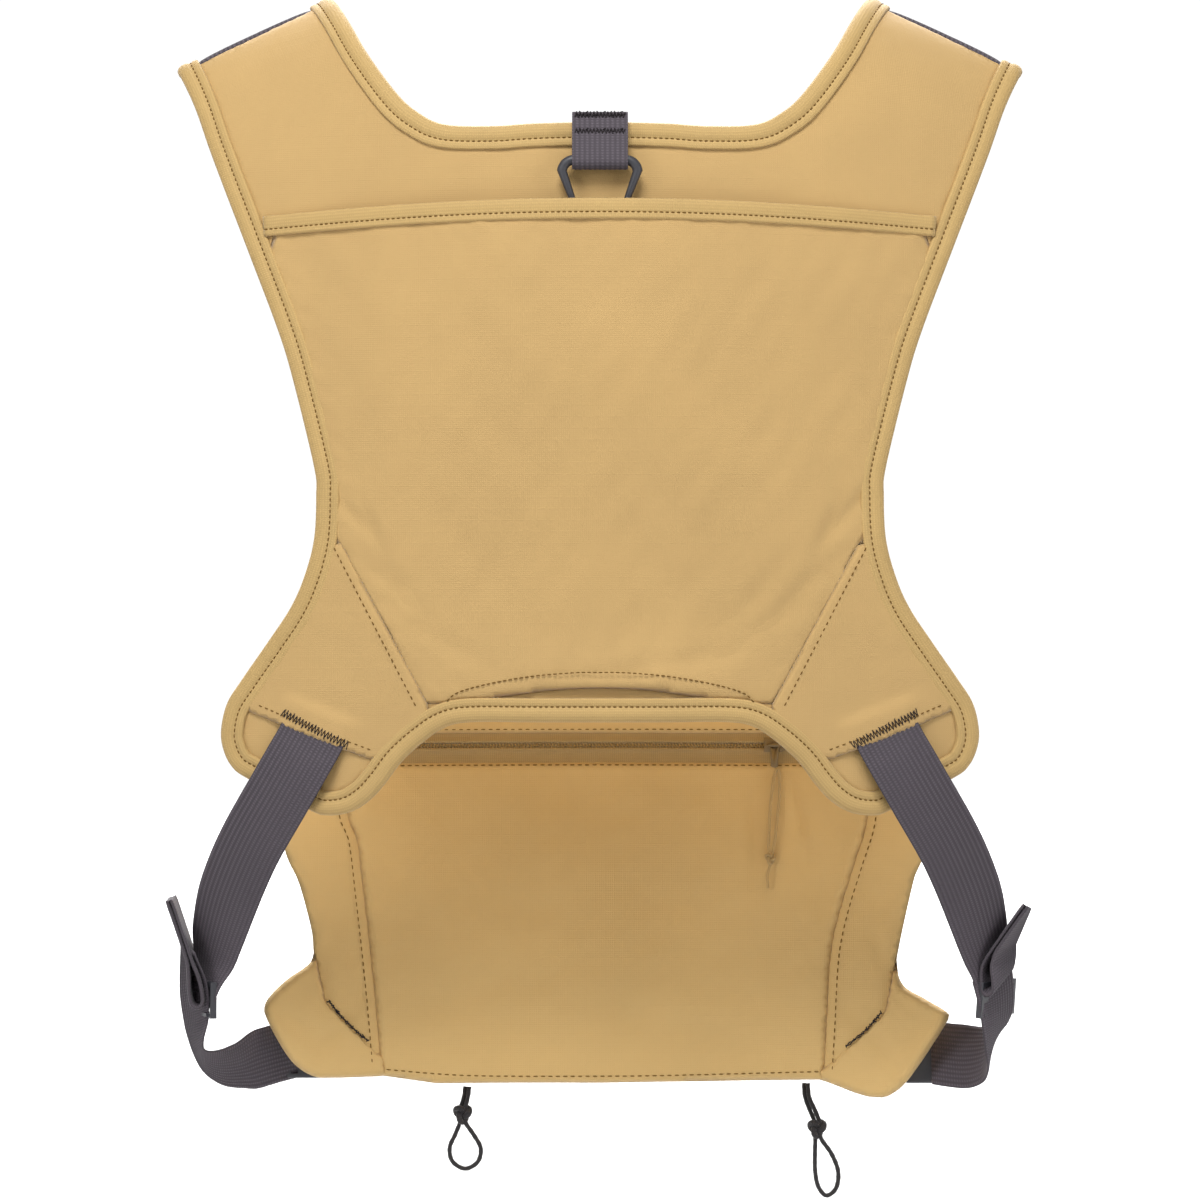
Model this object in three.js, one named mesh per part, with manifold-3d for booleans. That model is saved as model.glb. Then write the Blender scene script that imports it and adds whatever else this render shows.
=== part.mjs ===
// A harness-style fishing vest: a padded yoke on the wearer's back, two shoulder straps
// and a zipped chest pack in front, joined at the sides by adjustable webbing.
// Millimetres. +X is the wearer's right, -Y is behind the wearer's back, +Z is up.
// The origin is midway between the two shoulder crests, where the vest hangs on its wearer.

import * as THREE from 'three';
import Module from 'manifold-3d';
import { mergeVertices } from 'three/addons/utils/BufferGeometryUtils.js';

const wasm = await Module();
wasm.setup();

// ---------------------------------------------------------------- driving dimensions

const GAP = 0.3;                    // play between pieces that touch
const LAYER_GAP = 0.6;              // play between two curved layers

const YOKE_Y = -90;                 // the middle of the wearer's back
const BACK_ROUND = 15;              // how far the back has curved away 100 mm off its middle
const BACK_ARCH = 8;                // how far it has curved away ARCH_REACH above or below ARCH_Z
const ARCH_Z = -170;
const ARCH_REACH = 140;

const CREST_SLOPE = THREE.MathUtils.degToRad(24.8);
const CREST_HEIGHT = 77.5;          // crest line's distance from the origin along its own normal
const CREST_Y = -10;
const CREST_RADIUS = 70;
const BEND_START = CREST_HEIGHT - CREST_RADIUS;

const PANEL_HALF = 1.4;             // padded yoke panel, half its thickness
const SKIN = 1;                     // pocket, wing and lining cloth with its backing
const BINDING_WIDTH = 11;
const BINDING_HALF = 3.3;
const EDGE_STEP = 10;               // spacing of points along sewn edges
const SEAM_STEPS_NECK = 1;          // how many steps before the crest the back panel ends
const SEAM_STEPS_ARM = 2;

const POCKET_BULGE = 10;            // how far the stash pocket's mouth stands open
const POCKET_TOP = -71;
const BAND_HEIGHT = 9.5;
const POCKET_BASE = -291.5;

const RING_WEB = 25.4;              // webbing loop that holds the net ring
const RING_BAR = 2.2;               // half the ring's thickness
const RING_WIDTH = 40;
const RING_HEIGHT = 36;
const RING_TOP = -50.5;
const RING_D = 6.2;                 // ring's middle, out from the yoke's middle surface

const SIDE_WEB = 32;                // side straps
const SHOULDER_WEB = 25;            // shoulder straps
const WEB_THICK = 1.4;

const PACK_Y = 72;                  // chest side of the pack at its middle
const PACK_RADIUS = 357;             // its sides come back round the wearer's chest
const PACK_SKIN = 2.4;
const PACK_TOP = -262;
const PACK_BASE = -483;
const ZIP_TOP = -315;
const ZIP_BASE = -329;
const ZIP_MIDDLE = -322;
const BODY_HALF = 112;              // pack body, half its width
const BODY_DEPTH = 62;
const POCKET_HALF = 92;             // front pocket, half its width
const POCKET_DEPTH = 20;

const CORD = 1.8;                   // drawcord and pull cord diameter

// ---------------------------------------------------------------- colours

const finish = (color, roughness, metalness = 0) =>
  new THREE.MeshStandardMaterial({ color, roughness, metalness });
const tanFabric = finish(0xd4b176, 0.85);
const packFabric = finish(0xbe9a61, 0.85);
const bindingTape = finish(0xdbbb7f, 0.8);
const charcoalWeb = finish(0x453e47, 0.8);
const meshLining = finish(0x4a4650, 0.95);
const blackPlastic = finish(0x2f2f34, 0.45);
const blackCord = finish(0x2e2a2c, 0.8);
const tanCord = finish(0xc2a36b, 0.85);
const zipCoil = finish(0xb08d55, 0.6);
const sliderMetal = finish(0x6d5a3c, 0.4, 0.8);

// ---------------------------------------------------------------- mesh helpers

const vest = new THREE.Group();

function add(name, geometry, material) {
  const mesh = new THREE.Mesh(outward(weld(geometry)), material);
  mesh.name = name;
  vest.add(mesh);
  return mesh;
}

function weld(geometry) {
  const bare = new THREE.BufferGeometry();
  bare.setAttribute('position', geometry.attributes.position.clone());
  if (geometry.index) bare.setIndex(geometry.index.clone());
  return mergeVertices(bare, 1e-3);
}

function outward(geometry) {
  const p = geometry.attributes.position;
  const index = geometry.index.array;
  const [a, b, c] = [new THREE.Vector3(), new THREE.Vector3(), new THREE.Vector3()];
  let volume = 0;
  for (let i = 0; i < index.length; i += 3) {
    a.fromBufferAttribute(p, index[i]);
    b.fromBufferAttribute(p, index[i + 1]);
    c.fromBufferAttribute(p, index[i + 2]);
    volume += a.dot(b.cross(c));
  }
  if (volume > 0) return geometry;
  for (let i = 0; i < index.length; i += 3) {
    [index[i], index[i + 1]] = [index[i + 1], index[i]];
  }
  return geometry;
}

function fromTriangles(points) {
  const geometry = new THREE.BufferGeometry();
  geometry.setAttribute('position', new THREE.Float32BufferAttribute(points.flat(), 3));
  return geometry;
}

// Corner points of a circle's centre and squared radius through three points.
function circle([ax, ay], [bx, by], [cx, cy]) {
  const d = 2 * (ax * (by - cy) + bx * (cy - ay) + cx * (ay - by));
  const [a2, b2, c2] = [ax * ax + ay * ay, bx * bx + by * by, cx * cx + cy * cy];
  const x = (a2 * (by - cy) + b2 * (cy - ay) + c2 * (ay - by)) / d;
  const y = (a2 * (cx - bx) + b2 * (ax - cx) + c2 * (bx - ax)) / d;
  return [x, y, (ax - x) ** 2 + (ay - y) ** 2];
}

// Delaunay triangles of plane points, as index triples.
function triangulate(points) {
  const far = 1e4;
  const all = [...points, [-far, -far], [far, -far], [0, far]];
  const make = (i, j, k) => ({ corners: [i, j, k], round: circle(all[i], all[j], all[k]) });
  let triangles = [make(points.length, points.length + 1, points.length + 2)];
  points.forEach(([x, y], i) => {
    const rim = new Map();
    const kept = [];
    for (const t of triangles) {
      const [cx, cy, r2] = t.round;
      if ((x - cx) ** 2 + (y - cy) ** 2 >= r2) {
        kept.push(t);
        continue;
      }
      t.corners.forEach((from, k) => {
        const to = t.corners[(k + 1) % 3];
        if (!rim.delete(`${to},${from}`)) rim.set(`${from},${to}`, [from, to]);
      });
    }
    triangles = [...kept, ...[...rim.values()].map(([from, to]) => make(from, to, i))];
  });
  return triangles.map((t) => t.corners).filter((c) => Math.max(...c) < points.length);
}

function inside([x, y], outline) {
  let odd = false;
  outline.forEach(([x0, y0], i) => {
    const [x1, y1] = outline[(i + 1) % outline.length];
    if ((y0 > y) !== (y1 > y) && x < ((x1 - x0) * (y - y0)) / (y1 - y0) + x0) odd = !odd;
  });
  return odd;
}

function densify(outline, step) {
  return outline.flatMap(([x0, y0], i) => {
    const [x1, y1] = outline[(i + 1) % outline.length];
    const count = Math.max(1, Math.round(Math.hypot(x1 - x0, y1 - y0) / step));
    return [...Array(count).keys()].map((k) => [x0 + ((x1 - x0) * k) / count,
      y0 + ((y1 - y0) * k) / count]);
  });
}

// Rows of points inside an outline, closer together where fine(x, z) says so.
function filling(outline, rim, step, fine) {
  const xs = outline.map(([x]) => x);
  const zs = outline.map(([, z]) => z);
  const half = step / 2;
  const points = [];
  for (let row = 1; Math.min(...zs) + row * half < Math.max(...zs); row += 1) {
    for (let column = 1; Math.min(...xs) + column * half < Math.max(...xs); column += 1) {
      const shift = row % 4 === 0 ? half : 0;
      const lean = 0.4 * Math.sin(7 * row + 3 * column);
      const x = Math.min(...xs) + column * half + shift + lean;
      const z = Math.min(...zs) + row * half + lean;
      const dense = fine(x, z);
      if (!dense && (row % 2 || column % 2)) continue;
      const clear = dense ? 0.35 * step : 0.5 * step;
      if (rim.some(([rx, rz]) => Math.hypot(rx - x, rz - z) < clear)) continue;
      if (inside([x, z], outline)) points.push([x, z]);
    }
  }
  return points;
}

// A slab of the outline, from depth d0 to d1, laid on a surface.
function laid(outline, d0, d1, step, place, fine = () => false) {
  const rim = densify(outline, step * 0.75);
  const points = [...rim, ...filling(outline, rim, step, fine)];
  const faces = triangulate(points).filter((t) => {
    const middle = [0, 1].map((j) => (points[t[0]][j] + points[t[1]][j] + points[t[2]][j]) / 3);
    return inside(middle, rim);
  });
  const low = points.map(([x, z]) => place(x, z, d0).toArray());
  const high = points.map(([x, z]) => place(x, z, d1).toArray());
  const corners = [];
  const open = new Map();
  for (const t of faces) {
    corners.push(...t.map((i) => high[i]), ...t.slice().reverse().map((i) => low[i]));
    t.forEach((from, k) => {
      const to = t[(k + 1) % 3];
      if (!open.delete(`${to},${from}`)) open.set(`${from},${to}`, [from, to]);
    });
  }
  for (const [i, j] of open.values()) {
    corners.push(high[i], low[i], low[j], high[i], low[j], high[j]);
  }
  return fromTriangles(corners);
}

function offset(surface, x, z, d) {
  const e = 0.5;
  const dx = surface(x + e, z).sub(surface(x - e, z));
  const dz = surface(x, z + e).sub(surface(x, z - e));
  return surface(x, z).addScaledVector(dx.cross(dz).normalize(), d);
}

const smoothStep = (t) => THREE.MathUtils.smoothstep(t, 0, 1);
const mirrorX = (points) => points.map(([x, z]) => [-x, z]);

// Evenly spaced points on a smooth curve through a few given ones.
function smooth(points, step = EDGE_STEP) {
  const curve = new THREE.SplineCurve(points.map(([x, z]) => new THREE.Vector2(x, z)));
  const count = Math.round(curve.getLength() / step);
  return curve.getSpacedPoints(count).map((v) => [v.x, v.y]);
}

// The same line moved sideways: to its left for a positive distance.
function beside(points, distance) {
  return points.map(([x, z], i) => {
    const [x0, z0] = points[Math.max(i - 1, 0)];
    const [x1, z1] = points[Math.min(i + 1, points.length - 1)];
    const length = Math.hypot(x1 - x0, z1 - z0);
    return [x - ((z1 - z0) / length) * distance, z + ((x1 - x0) / length) * distance];
  });
}

// Strap through stations [x, y, z, across x, across y, across z, width, thickness].
function ribbon(stations, width, thickness, steps) {
  const path = new THREE.CatmullRomCurve3(stations.map((s) => new THREE.Vector3(s[0], s[1], s[2])));
  const across = new THREE.CatmullRomCurve3(stations.map((s) => new THREE.Vector3(s[3], s[4], s[5])));
  const size = new THREE.CatmullRomCurve3(
    stations.map((s) => new THREE.Vector3(s[6] ?? width, s[7] ?? thickness, 0)));
  const rings = [];
  for (let i = 0; i <= steps; i += 1) {
    const t = i / steps;
    const centre = path.getPoint(t);
    const along = path.getTangent(t);
    const side = across.getPoint(t);
    side.addScaledVector(along, -side.dot(along)).normalize();
    const up = new THREE.Vector3().crossVectors(along, side);
    const { x: w, y: h } = size.getPoint(t);
    rings.push([[-1, -1], [1, -1], [1, 1], [-1, 1]].map(([u, v]) => centre.clone()
      .addScaledVector(side, (u * w) / 2)
      .addScaledVector(up, (v * h) / 2).toArray()));
  }
  return loft(rings, true);
}

// Joins rings of equal point count; capped closes both ends, otherwise it closes on itself.
function loft(rings, capped) {
  const points = [];
  const sides = rings[0].length;
  const last = capped ? rings.length - 1 : rings.length;
  for (let i = 0; i < last; i += 1) {
    const [near, far] = [rings[i], rings[(i + 1) % rings.length]];
    for (let k = 0; k < sides; k += 1) {
      const n = (k + 1) % sides;
      points.push(near[k], near[n], far[n], near[k], far[n], far[k]);
    }
  }
  if (capped) {
    const [first, end] = [rings[0], rings[rings.length - 1]];
    for (let k = 1; k < sides - 1; k += 1) {
      points.push(first[0], first[k + 1], first[k], end[0], end[k], end[k + 1]);
    }
  }
  return fromTriangles(points);
}

// A round bar along a closed curve in the plane of two directions.
function closedBar(points, radius, steps, sides, normal) {
  const curve = new THREE.CatmullRomCurve3(points.map((p) => new THREE.Vector3(...p)), true);
  const rings = [];
  for (let i = 0; i < steps; i += 1) {
    const centre = curve.getPointAt(i / steps);
    const side = new THREE.Vector3().crossVectors(curve.getTangentAt(i / steps), normal).normalize();
    rings.push([...Array(sides).keys()].map((k) => {
      const angle = (2 * Math.PI * k) / sides;
      return centre.clone()
        .addScaledVector(side, radius * Math.cos(angle))
        .addScaledVector(normal, radius * Math.sin(angle)).toArray();
    }));
  }
  return loft(rings, false);
}

// A cord along hand-chosen points.
function cord(points, diameter, step) {
  const curve = new THREE.CatmullRomCurve3(points.map((p) => new THREE.Vector3(...p)));
  const section = new THREE.Shape();
  const sides = 8;
  for (let k = 0; k < sides; k += 1) {
    const angle = (2 * Math.PI * k) / sides;
    const [u, v] = [(diameter / 2) * Math.cos(angle), (diameter / 2) * Math.sin(angle)];
    if (k === 0) section.moveTo(u, v);
    else section.lineTo(u, v);
  }
  const steps = Math.max(4, Math.round(curve.getLength() / step));
  return new THREE.ExtrudeGeometry(section, { steps, bevelEnabled: false, extrudePath: curve });
}

function solid(geometry) {
  const welded = outward(weld(geometry));
  return new wasm.Manifold(new wasm.Mesh({
    numProp: 3,
    vertProperties: new Float32Array(welded.attributes.position.array),
    triVerts: new Uint32Array(welded.index.array),
  }));
}

function fromSolid(manifold) {
  const mesh = manifold.getMesh();
  const geometry = new THREE.BufferGeometry();
  geometry.setAttribute('position', new THREE.BufferAttribute(mesh.vertProperties, 3));
  geometry.setIndex(new THREE.BufferAttribute(mesh.triVerts, 1));
  return geometry;
}

function block(width, depth, height, x = 0, y = 0, z = 0) {
  const geometry = new THREE.BoxGeometry(width, depth, height);
  geometry.translate(x, y, z);
  return geometry;
}

// ---------------------------------------------------------------- the yoke's surface

// Distances along and across a shoulder's crest line, from |x| and z.
function toCrest(x, z) {
  const [c, s] = [Math.cos(CREST_SLOPE), Math.sin(CREST_SLOPE)];
  return [Math.abs(x) * c - z * s, Math.abs(x) * s + z * c];
}

function fromCrest(side, a, b) {
  const [c, s] = [Math.cos(CREST_SLOPE), Math.sin(CREST_SLOPE)];
  return [side * (a * c + b * s), b * c - a * s];
}

// Lays a point that is seen from behind out flat, as the pattern is cut.
function unroll([x, z]) {
  const [a, b] = toCrest(x, z);
  if (b <= BEND_START) return [x, z];
  const angle = Math.asin(Math.min(1, (b - BEND_START) / CREST_RADIUS));
  return fromCrest(Math.sign(x), a, BEND_START + CREST_RADIUS * angle);
}

function yokeSurface(x, z) {
  const [a, b] = toCrest(x, z);
  const angle = Math.max(0, (b - BEND_START) / CREST_RADIUS);
  const [px, pz] = angle > 0
    ? fromCrest(Math.sign(x), a, BEND_START + CREST_RADIUS * Math.sin(angle))
    : [x, z];
  const flat = YOKE_Y + BACK_ROUND * (px / 100) ** 2 + BACK_ARCH * ((pz - ARCH_Z) / ARCH_REACH) ** 2;
  return new THREE.Vector3(px, flat + (CREST_Y - flat) * (1 - Math.cos(angle)), pz);
}

const onYoke = (x, z, d) => offset(yokeSurface, x, z, d);
const YOKE_STEP = 26;
const shoulderBend = (x, z) => toCrest(x, z)[1] > BEND_START - 5;

function pocketBulge(x, z) {
  const acrossPart = Math.max(0, 1 - (x / 150) ** 2) ** 2;
  const downPart = 1 - smoothStep((POCKET_TOP - 50 - z) / 150);
  return POCKET_BULGE * acrossPart * downPart;
}

const onPocket = (x, z, d) => onYoke(x, z, d + pocketBulge(x, z));

// ---------------------------------------------------------------- yoke outlines

const neckSide = [[0, -34.5], [30, -35], [48.5, -36], [70.5, -35], [82.5, -29.5], [93, -20],
  [107, -0.5], [117, 17], [125, 27.6]];
const armSide = [[197.7, -6], [189.5, -21], [180, -46], [161.5, -93], [148, -128], [141, -150.5],
  [131, -191], [130, -204], [131, -224], [135.5, -241], [142, -255.5], [152.5, -271], [165, -288.5],
  [172.5, -300], [175.5, -312.5], [174.5, -321.5], [170.5, -329.5], [163, -335], [134, -349],
  [126, -351.5], [115, -350], [106, -344.5], [99, -337], [91, -326.5], [80.5, -317], [70, -310.2],
  [58, -308], [30, -308], [0, -308]];

const wholeNeck = [...mirrorX(neckSide.slice(1)).reverse(), ...neckSide].map(unroll);
const wholeArm = [...armSide, ...mirrorX(armSide.slice(0, -1)).reverse()].map(unroll);
const neckLine = smooth(wholeNeck);
const armLine = smooth(wholeArm);
const neckInner = beside(neckLine, -BINDING_WIDTH);
const armInner = beside(armLine, -BINDING_WIDTH);
const neckPanel = beside(neckLine, -BINDING_WIDTH - GAP);
const armPanel = beside(armLine, -BINDING_WIDTH - GAP);
const yokeOutline = [
  ...neckPanel.slice(SEAM_STEPS_NECK, -SEAM_STEPS_NECK),
  ...armPanel.slice(SEAM_STEPS_ARM, -SEAM_STEPS_ARM),
];

// The stretch of a line that runs between its points nearest to two given ones.
function stretch(line, from, to) {
  const nearest = (p) => line.reduce((best, q, i) =>
    (Math.hypot(q[0] - p[0], q[1] - p[1]) < Math.hypot(line[best][0] - p[0], line[best][1] - p[1])
      ? i : best), 0);
  return line.slice(nearest(from), nearest(to) + 1);
}

function makeYoke() {
  add('yoke_panel', laid(yokeOutline, -PANEL_HALF, PANEL_HALF, YOKE_STEP, onYoke, shoulderBend), tanFabric);
  const liningOut = -PANEL_HALF - LAYER_GAP;
  add('yoke_lining', laid(yokeOutline, liningOut - SKIN, liningOut, YOKE_STEP, onYoke, shoulderBend), meshLining);
  const neckBinding = [...neckLine, ...neckInner.slice().reverse()];
  const edgeBinding = [...armLine, ...armInner.slice().reverse()];
  add('neck_binding', laid(neckBinding, -BINDING_HALF, BINDING_HALF, YOKE_STEP, onYoke), bindingTape);
  add('edge_binding', laid(edgeBinding, -BINDING_HALF, BINDING_HALF, YOKE_STEP, onYoke), bindingTape);
}

// ---------------------------------------------------------------- stash pocket and wings

const WING_SEAM_TOP = [118, -225.5];
const WING_SEAM_BASE = [78, -300];
const COVER_SEAM_OUT = [161, -304];
const COVER_SEAM_IN = [105.5, -325.2];

function makeStashPocket() {
  const under = PANEL_HALF + LAYER_GAP;
  const bandBase = POCKET_TOP - BAND_HEIGHT;
  const bandHalf = 150.5;
  const band = [[-bandHalf, POCKET_TOP - 4.5], [-60, POCKET_TOP - 0.5], [60, POCKET_TOP - 0.5],
    [bandHalf, POCKET_TOP - 4.5], [bandHalf - 3.5, bandBase - 4.5], [60, bandBase - 0.5],
    [-60, bandBase - 0.5], [-bandHalf + 3.5, bandBase - 4.5]];
  add('pocket_band', laid(band, under, under + 1.8, YOKE_STEP, onPocket), bindingTape);
  const panelTop = bandBase - GAP;
  const sideRight = stretch(armPanel, [145, -90], WING_SEAM_TOP);
  const gore = [WING_SEAM_BASE, [66, -296.2], [50, -295.4], [25, -293], [0, POCKET_BASE]];
  const right = [[60, panelTop - 0.5], [144, panelTop - 5], ...sideRight.slice(1, -1), WING_SEAM_TOP, ...gore];
  const left = mirrorX(right.slice(0, -1)).reverse();
  add('stash_pocket_panel', laid([...right, ...left], under, under + SKIN, YOKE_STEP, onPocket), tanFabric);
}

function makeWingPanel(side, name) {
  const under = PANEL_HALF + LAYER_GAP;
  const clear = 1;
  const outer = stretch(armPanel, WING_SEAM_TOP, COVER_SEAM_OUT).slice(1);
  const lower = stretch(armPanel, COVER_SEAM_IN, WING_SEAM_BASE).slice(1, -1);
  const right = [[WING_SEAM_TOP[0] + clear, WING_SEAM_TOP[1] - clear], ...outer, COVER_SEAM_IN,
    ...lower, [WING_SEAM_BASE[0] + clear, WING_SEAM_BASE[1]]];
  const outline = side > 0 ? right : mirrorX(right).reverse();
  add(name, laid(outline, under, under + SKIN, YOKE_STEP, onYoke, shoulderBend), tanFabric);
}

// ---------------------------------------------------------------- net ring and its loop

function makeNetRing() {
  const ringY = (z) => onYoke(0, z, RING_D).y;
  const half = RING_WIDTH / 2 - RING_BAR;
  const top = RING_TOP - RING_BAR;
  const base = top - RING_HEIGHT + 2 * RING_BAR;
  const corners = [[-half + 4, top], [0, top], [half - 4, top], [half, top - 4], [half - 2.5, top - 13],
    [half - 9, base + 3], [0, base], [-half + 9, base + 3], [-half + 2.5, top - 13], [-half, top - 4]];
  const y = ringY(top);
  const path = corners.map(([x, z]) => [x, ringY(z), z]);
  const normal = new THREE.Vector3(0, 1, 0);
  add('net_ring', closedBar(path, RING_BAR, 30, 8, normal), blackPlastic);

  const reach = RING_BAR + 0.6;
  const wall = 1.4;
  const profile = new THREE.Shape();
  const back = onYoke(0, top, BINDING_HALF + 0.5).y;
  const front = y - reach - wall;
  profile.moveTo(-back + 0.4, -30);
  profile.lineTo(-front - 3.2, -30);
  profile.lineTo(-front, -42);
  profile.lineTo(-front, top);
  profile.absarc(-y, top, reach + wall, 0, -Math.PI, true);
  profile.lineTo(-back + 0.4, -42);
  const bore = new THREE.Path();
  bore.absarc(-y, top, reach, 0, 2 * Math.PI, false);
  profile.holes.push(bore);
  const flat = new THREE.ExtrudeGeometry(profile, {
    depth: RING_WEB, bevelEnabled: false, curveSegments: 8 });
  flat.translate(0, 0, -RING_WEB / 2);
  const turned = new THREE.Matrix4().makeBasis(
    new THREE.Vector3(0, -1, 0), new THREE.Vector3(0, 0, 1), new THREE.Vector3(-1, 0, 0));
  flat.applyMatrix4(turned);
  add('ring_loop', flat, charcoalWeb);
}

// ---------------------------------------------------------------- shoulder straps

// Right-hand strap stations, from just behind the crest, over it and down the chest:
// [x, y, z, across x, across y, across z, width].
const strapPath = [
  [161.1, -14.6, 10.2, 0.908, 0, -0.4195, 78],
  [161.35, -8.4, 10.8, 0.908, 0, -0.4195, 78],
  [160.4, 3, 8.4, 0.908, 0, -0.4195, 78],
  [157.4, 15, 2.3, 0.908, 0, -0.4195, 77],
  [146.7, 33.3, -21, 0.92, 0, -0.38, 75],
  [134, 41, -52.7, 0.95, 0.02, -0.3, 71],
  [125, 46, -85, 0.98, 0.05, -0.18, 66],
  [119.5, 51, -120, 1, 0.08, -0.08, 58],
  [116, 56, -155, 1, 0.1, 0, 48],
];
const STRAP_HALF = 2.5;

const mirrored = (stations, side) => stations.map(([x, y, z, u, v, w, ...rest]) =>
  [side * x, y, z, side * u, v, w, ...rest]);

// The same strap made narrower, or one of its two edges.
function strapPart(stations, from, to) {
  return stations.map(([x, y, z, u, v, w, width]) => {
    const low = from(width);
    const high = to(width);
    const middle = (low + high) / 2;
    const length = Math.hypot(u, v, w);
    return [x + (u / length) * middle, y + (v / length) * middle, z + (w / length) * middle,
      u, v, w, high - low];
  });
}

function makeShoulderStrap(side, label) {
  const pad = strapPart(strapPath, (w) => -w / 2 + BINDING_WIDTH + LAYER_GAP,
    (w) => w / 2 - BINDING_WIDTH - LAYER_GAP);
  const inner = strapPart(strapPath.slice(1), (w) => -w / 2, (w) => -w / 2 + BINDING_WIDTH);
  const outer = strapPart(strapPath.slice(1), (w) => w / 2 - BINDING_WIDTH, (w) => w / 2);
  const thick = 2 * STRAP_HALF;
  const edgeThick = 2 * BINDING_HALF;
  add(`strap_pad_${label}`, ribbon(mirrored(pad, side), 0, thick, 26), charcoalWeb);
  add(`strap_binding_inner_${label}`, ribbon(mirrored(inner, side), 0, edgeThick, 24), bindingTape);
  add(`strap_binding_outer_${label}`, ribbon(mirrored(outer, side), 0, edgeThick, 24), bindingTape);
  const web = [[115.5, 58, -156.5, 1, 0.1, 0], [113, 62, -190, 1, 0.05, 0],
    [112, 62, -222, 1, 0, 0], [112, 61, -238, 1, 0, 0]];
  add(`shoulder_webbing_${label}`, ribbon(mirrored(web, side), SHOULDER_WEB, WEB_THICK, 8),
    charcoalWeb);
  const lock = ladderLock(SHOULDER_WEB);
  lock.applyMatrix4(new THREE.Matrix4().makeBasis(
    new THREE.Vector3(1, 0, 0), new THREE.Vector3(0, 0, 1), new THREE.Vector3(0, -1, 0)));
  lock.translate(side * 112, 61, -250);
  add(`shoulder_ladder_lock_${label}`, lock, blackPlastic);
}

// ---------------------------------------------------------------- ladder locks and buckles

const LOCK_LENGTH = 17;
const LOCK_THICK = 4;

// A three-bar frame: bars along X, strap along Y, faces along Z.
function ladderLock(web) {
  const outerHalf = web / 2 + 3.5;
  const half = LOCK_LENGTH / 2;
  const frame = new THREE.Shape();
  frame.moveTo(-outerHalf + 2, -half);
  frame.lineTo(outerHalf - 2, -half);
  frame.lineTo(outerHalf, -half + 2);
  frame.lineTo(outerHalf, half - 2);
  frame.lineTo(outerHalf - 2, half);
  frame.lineTo(-outerHalf + 2, half);
  frame.lineTo(-outerHalf, half - 2);
  frame.lineTo(-outerHalf, -half + 2);
  for (const low of [-half + 2.2, 1]) {
    const slot = new THREE.Path();
    slot.moveTo(-web / 2 - 0.5, low);
    slot.lineTo(-web / 2 - 0.5, low + 5.2);
    slot.lineTo(web / 2 + 0.5, low + 5.2);
    slot.lineTo(web / 2 + 0.5, low);
    frame.holes.push(slot);
  }
  const geometry = new THREE.ExtrudeGeometry(frame, { depth: LOCK_THICK, bevelEnabled: false });
  geometry.translate(0, 0, -LOCK_THICK / 2);
  return geometry;
}

const SOCKET_LENGTH = 24;
const BUCKLE_THICK = 9;
const BUCKLE_HALF = 19;

// Side-release buckle: X from the socket to the plug, Y through it, Z across the strap.
function buckleSocket() {
  const shell = solid(block(SOCKET_LENGTH, BUCKLE_THICK, 2 * BUCKLE_HALF));
  const cavity = solid(block(SOCKET_LENGTH - 3, BUCKLE_THICK - 3.6, 2 * BUCKLE_HALF - 6, 2.5));
  const window = solid(block(9, BUCKLE_THICK, 4, 3, 0, BUCKLE_HALF - 1));
  const window2 = solid(block(9, BUCKLE_THICK, 4, 3, 0, -BUCKLE_HALF + 1));
  return fromSolid(shell.subtract(cavity).subtract(window).subtract(window2));
}

function bucklePlug() {
  const thick = BUCKLE_THICK - 4.4;
  const bar = solid(block(12, BUCKLE_THICK - 1, 2 * BUCKLE_HALF - 1, SOCKET_LENGTH / 2 + 6.5));
  const slot = solid(block(4, BUCKLE_THICK + 2, SIDE_WEB, SOCKET_LENGTH / 2 + 7.5));
  const reach = SOCKET_LENGTH - 5;
  const middle = SOCKET_LENGTH / 2 + 1 - reach / 2;
  const prongs = [-1, 0, 1].map((k) => solid(block(reach, thick, 5, middle, 0, k * 12.5)));
  return fromSolid(prongs.reduce((whole, prong) => whole.add(prong), bar.subtract(slot)));
}

// ---------------------------------------------------------------- side straps

// Upper webbing from under the wing's cover seam down to the ladder lock.
const upperPath = [
  [133.5, -60.5, -316.8, 0.93, 0.3, 0.37],
  [139, -58.5, -327, 0.9, 0.32, 0.38],
  [148.4, -52, -342.3, 0.88, 0.34, 0.38],
  [162.7, -37, -366.5, 0.87, 0.38, 0.35],
  [173.7, -17, -390.2, 0.85, 0.42, 0.32],
  [180.4, -2, -409.8, 0.74, 0.65, 0.2],
  [183, 4.5, -419, 0.64, 0.76, 0.08],
  [184.4, 7.5, -426.3, 0.56, 0.83, -0.08],
];

// Lower webbing from the ladder lock down, round and in to the buckle behind the hip wing.
const lowerLeft = [
  [-187.3, 13.5, -458, -0.48, 0.87, -0.14],
  [-188.5, 16, -462.5, -0.4, 0.9, 0],
  [-188, 20.5, -467, -0.35, 0.85, -0.2],
  [-182, 30, -472.5, -0.35, 0.7, -0.6],
  [-173, 40, -474.5, -0.2, 0.45, -0.87],
  [-165, 47, -473.3, -0.08, 0.25, -0.96],
  [-160, 50, -472, 0, 0.15, -0.98],
];
const lowerRight = [
  [186.5, 13.5, -458.5, 0.5, 0.86, -0.2],
  [187.3, 16.5, -463, 0.45, 0.88, 0.05],
  [186.5, 22, -467.5, 0.35, 0.85, 0.35],
  [182, 31, -472.5, 0.2, 0.7, 0.68],
  [177, 40.5, -473.8, 0.1, 0.45, 0.87],
  [172, 47.5, -473.5, 0.05, 0.3, 0.95],
  [167.5, 51, -473, 0, 0.2, 0.98],
];

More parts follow.
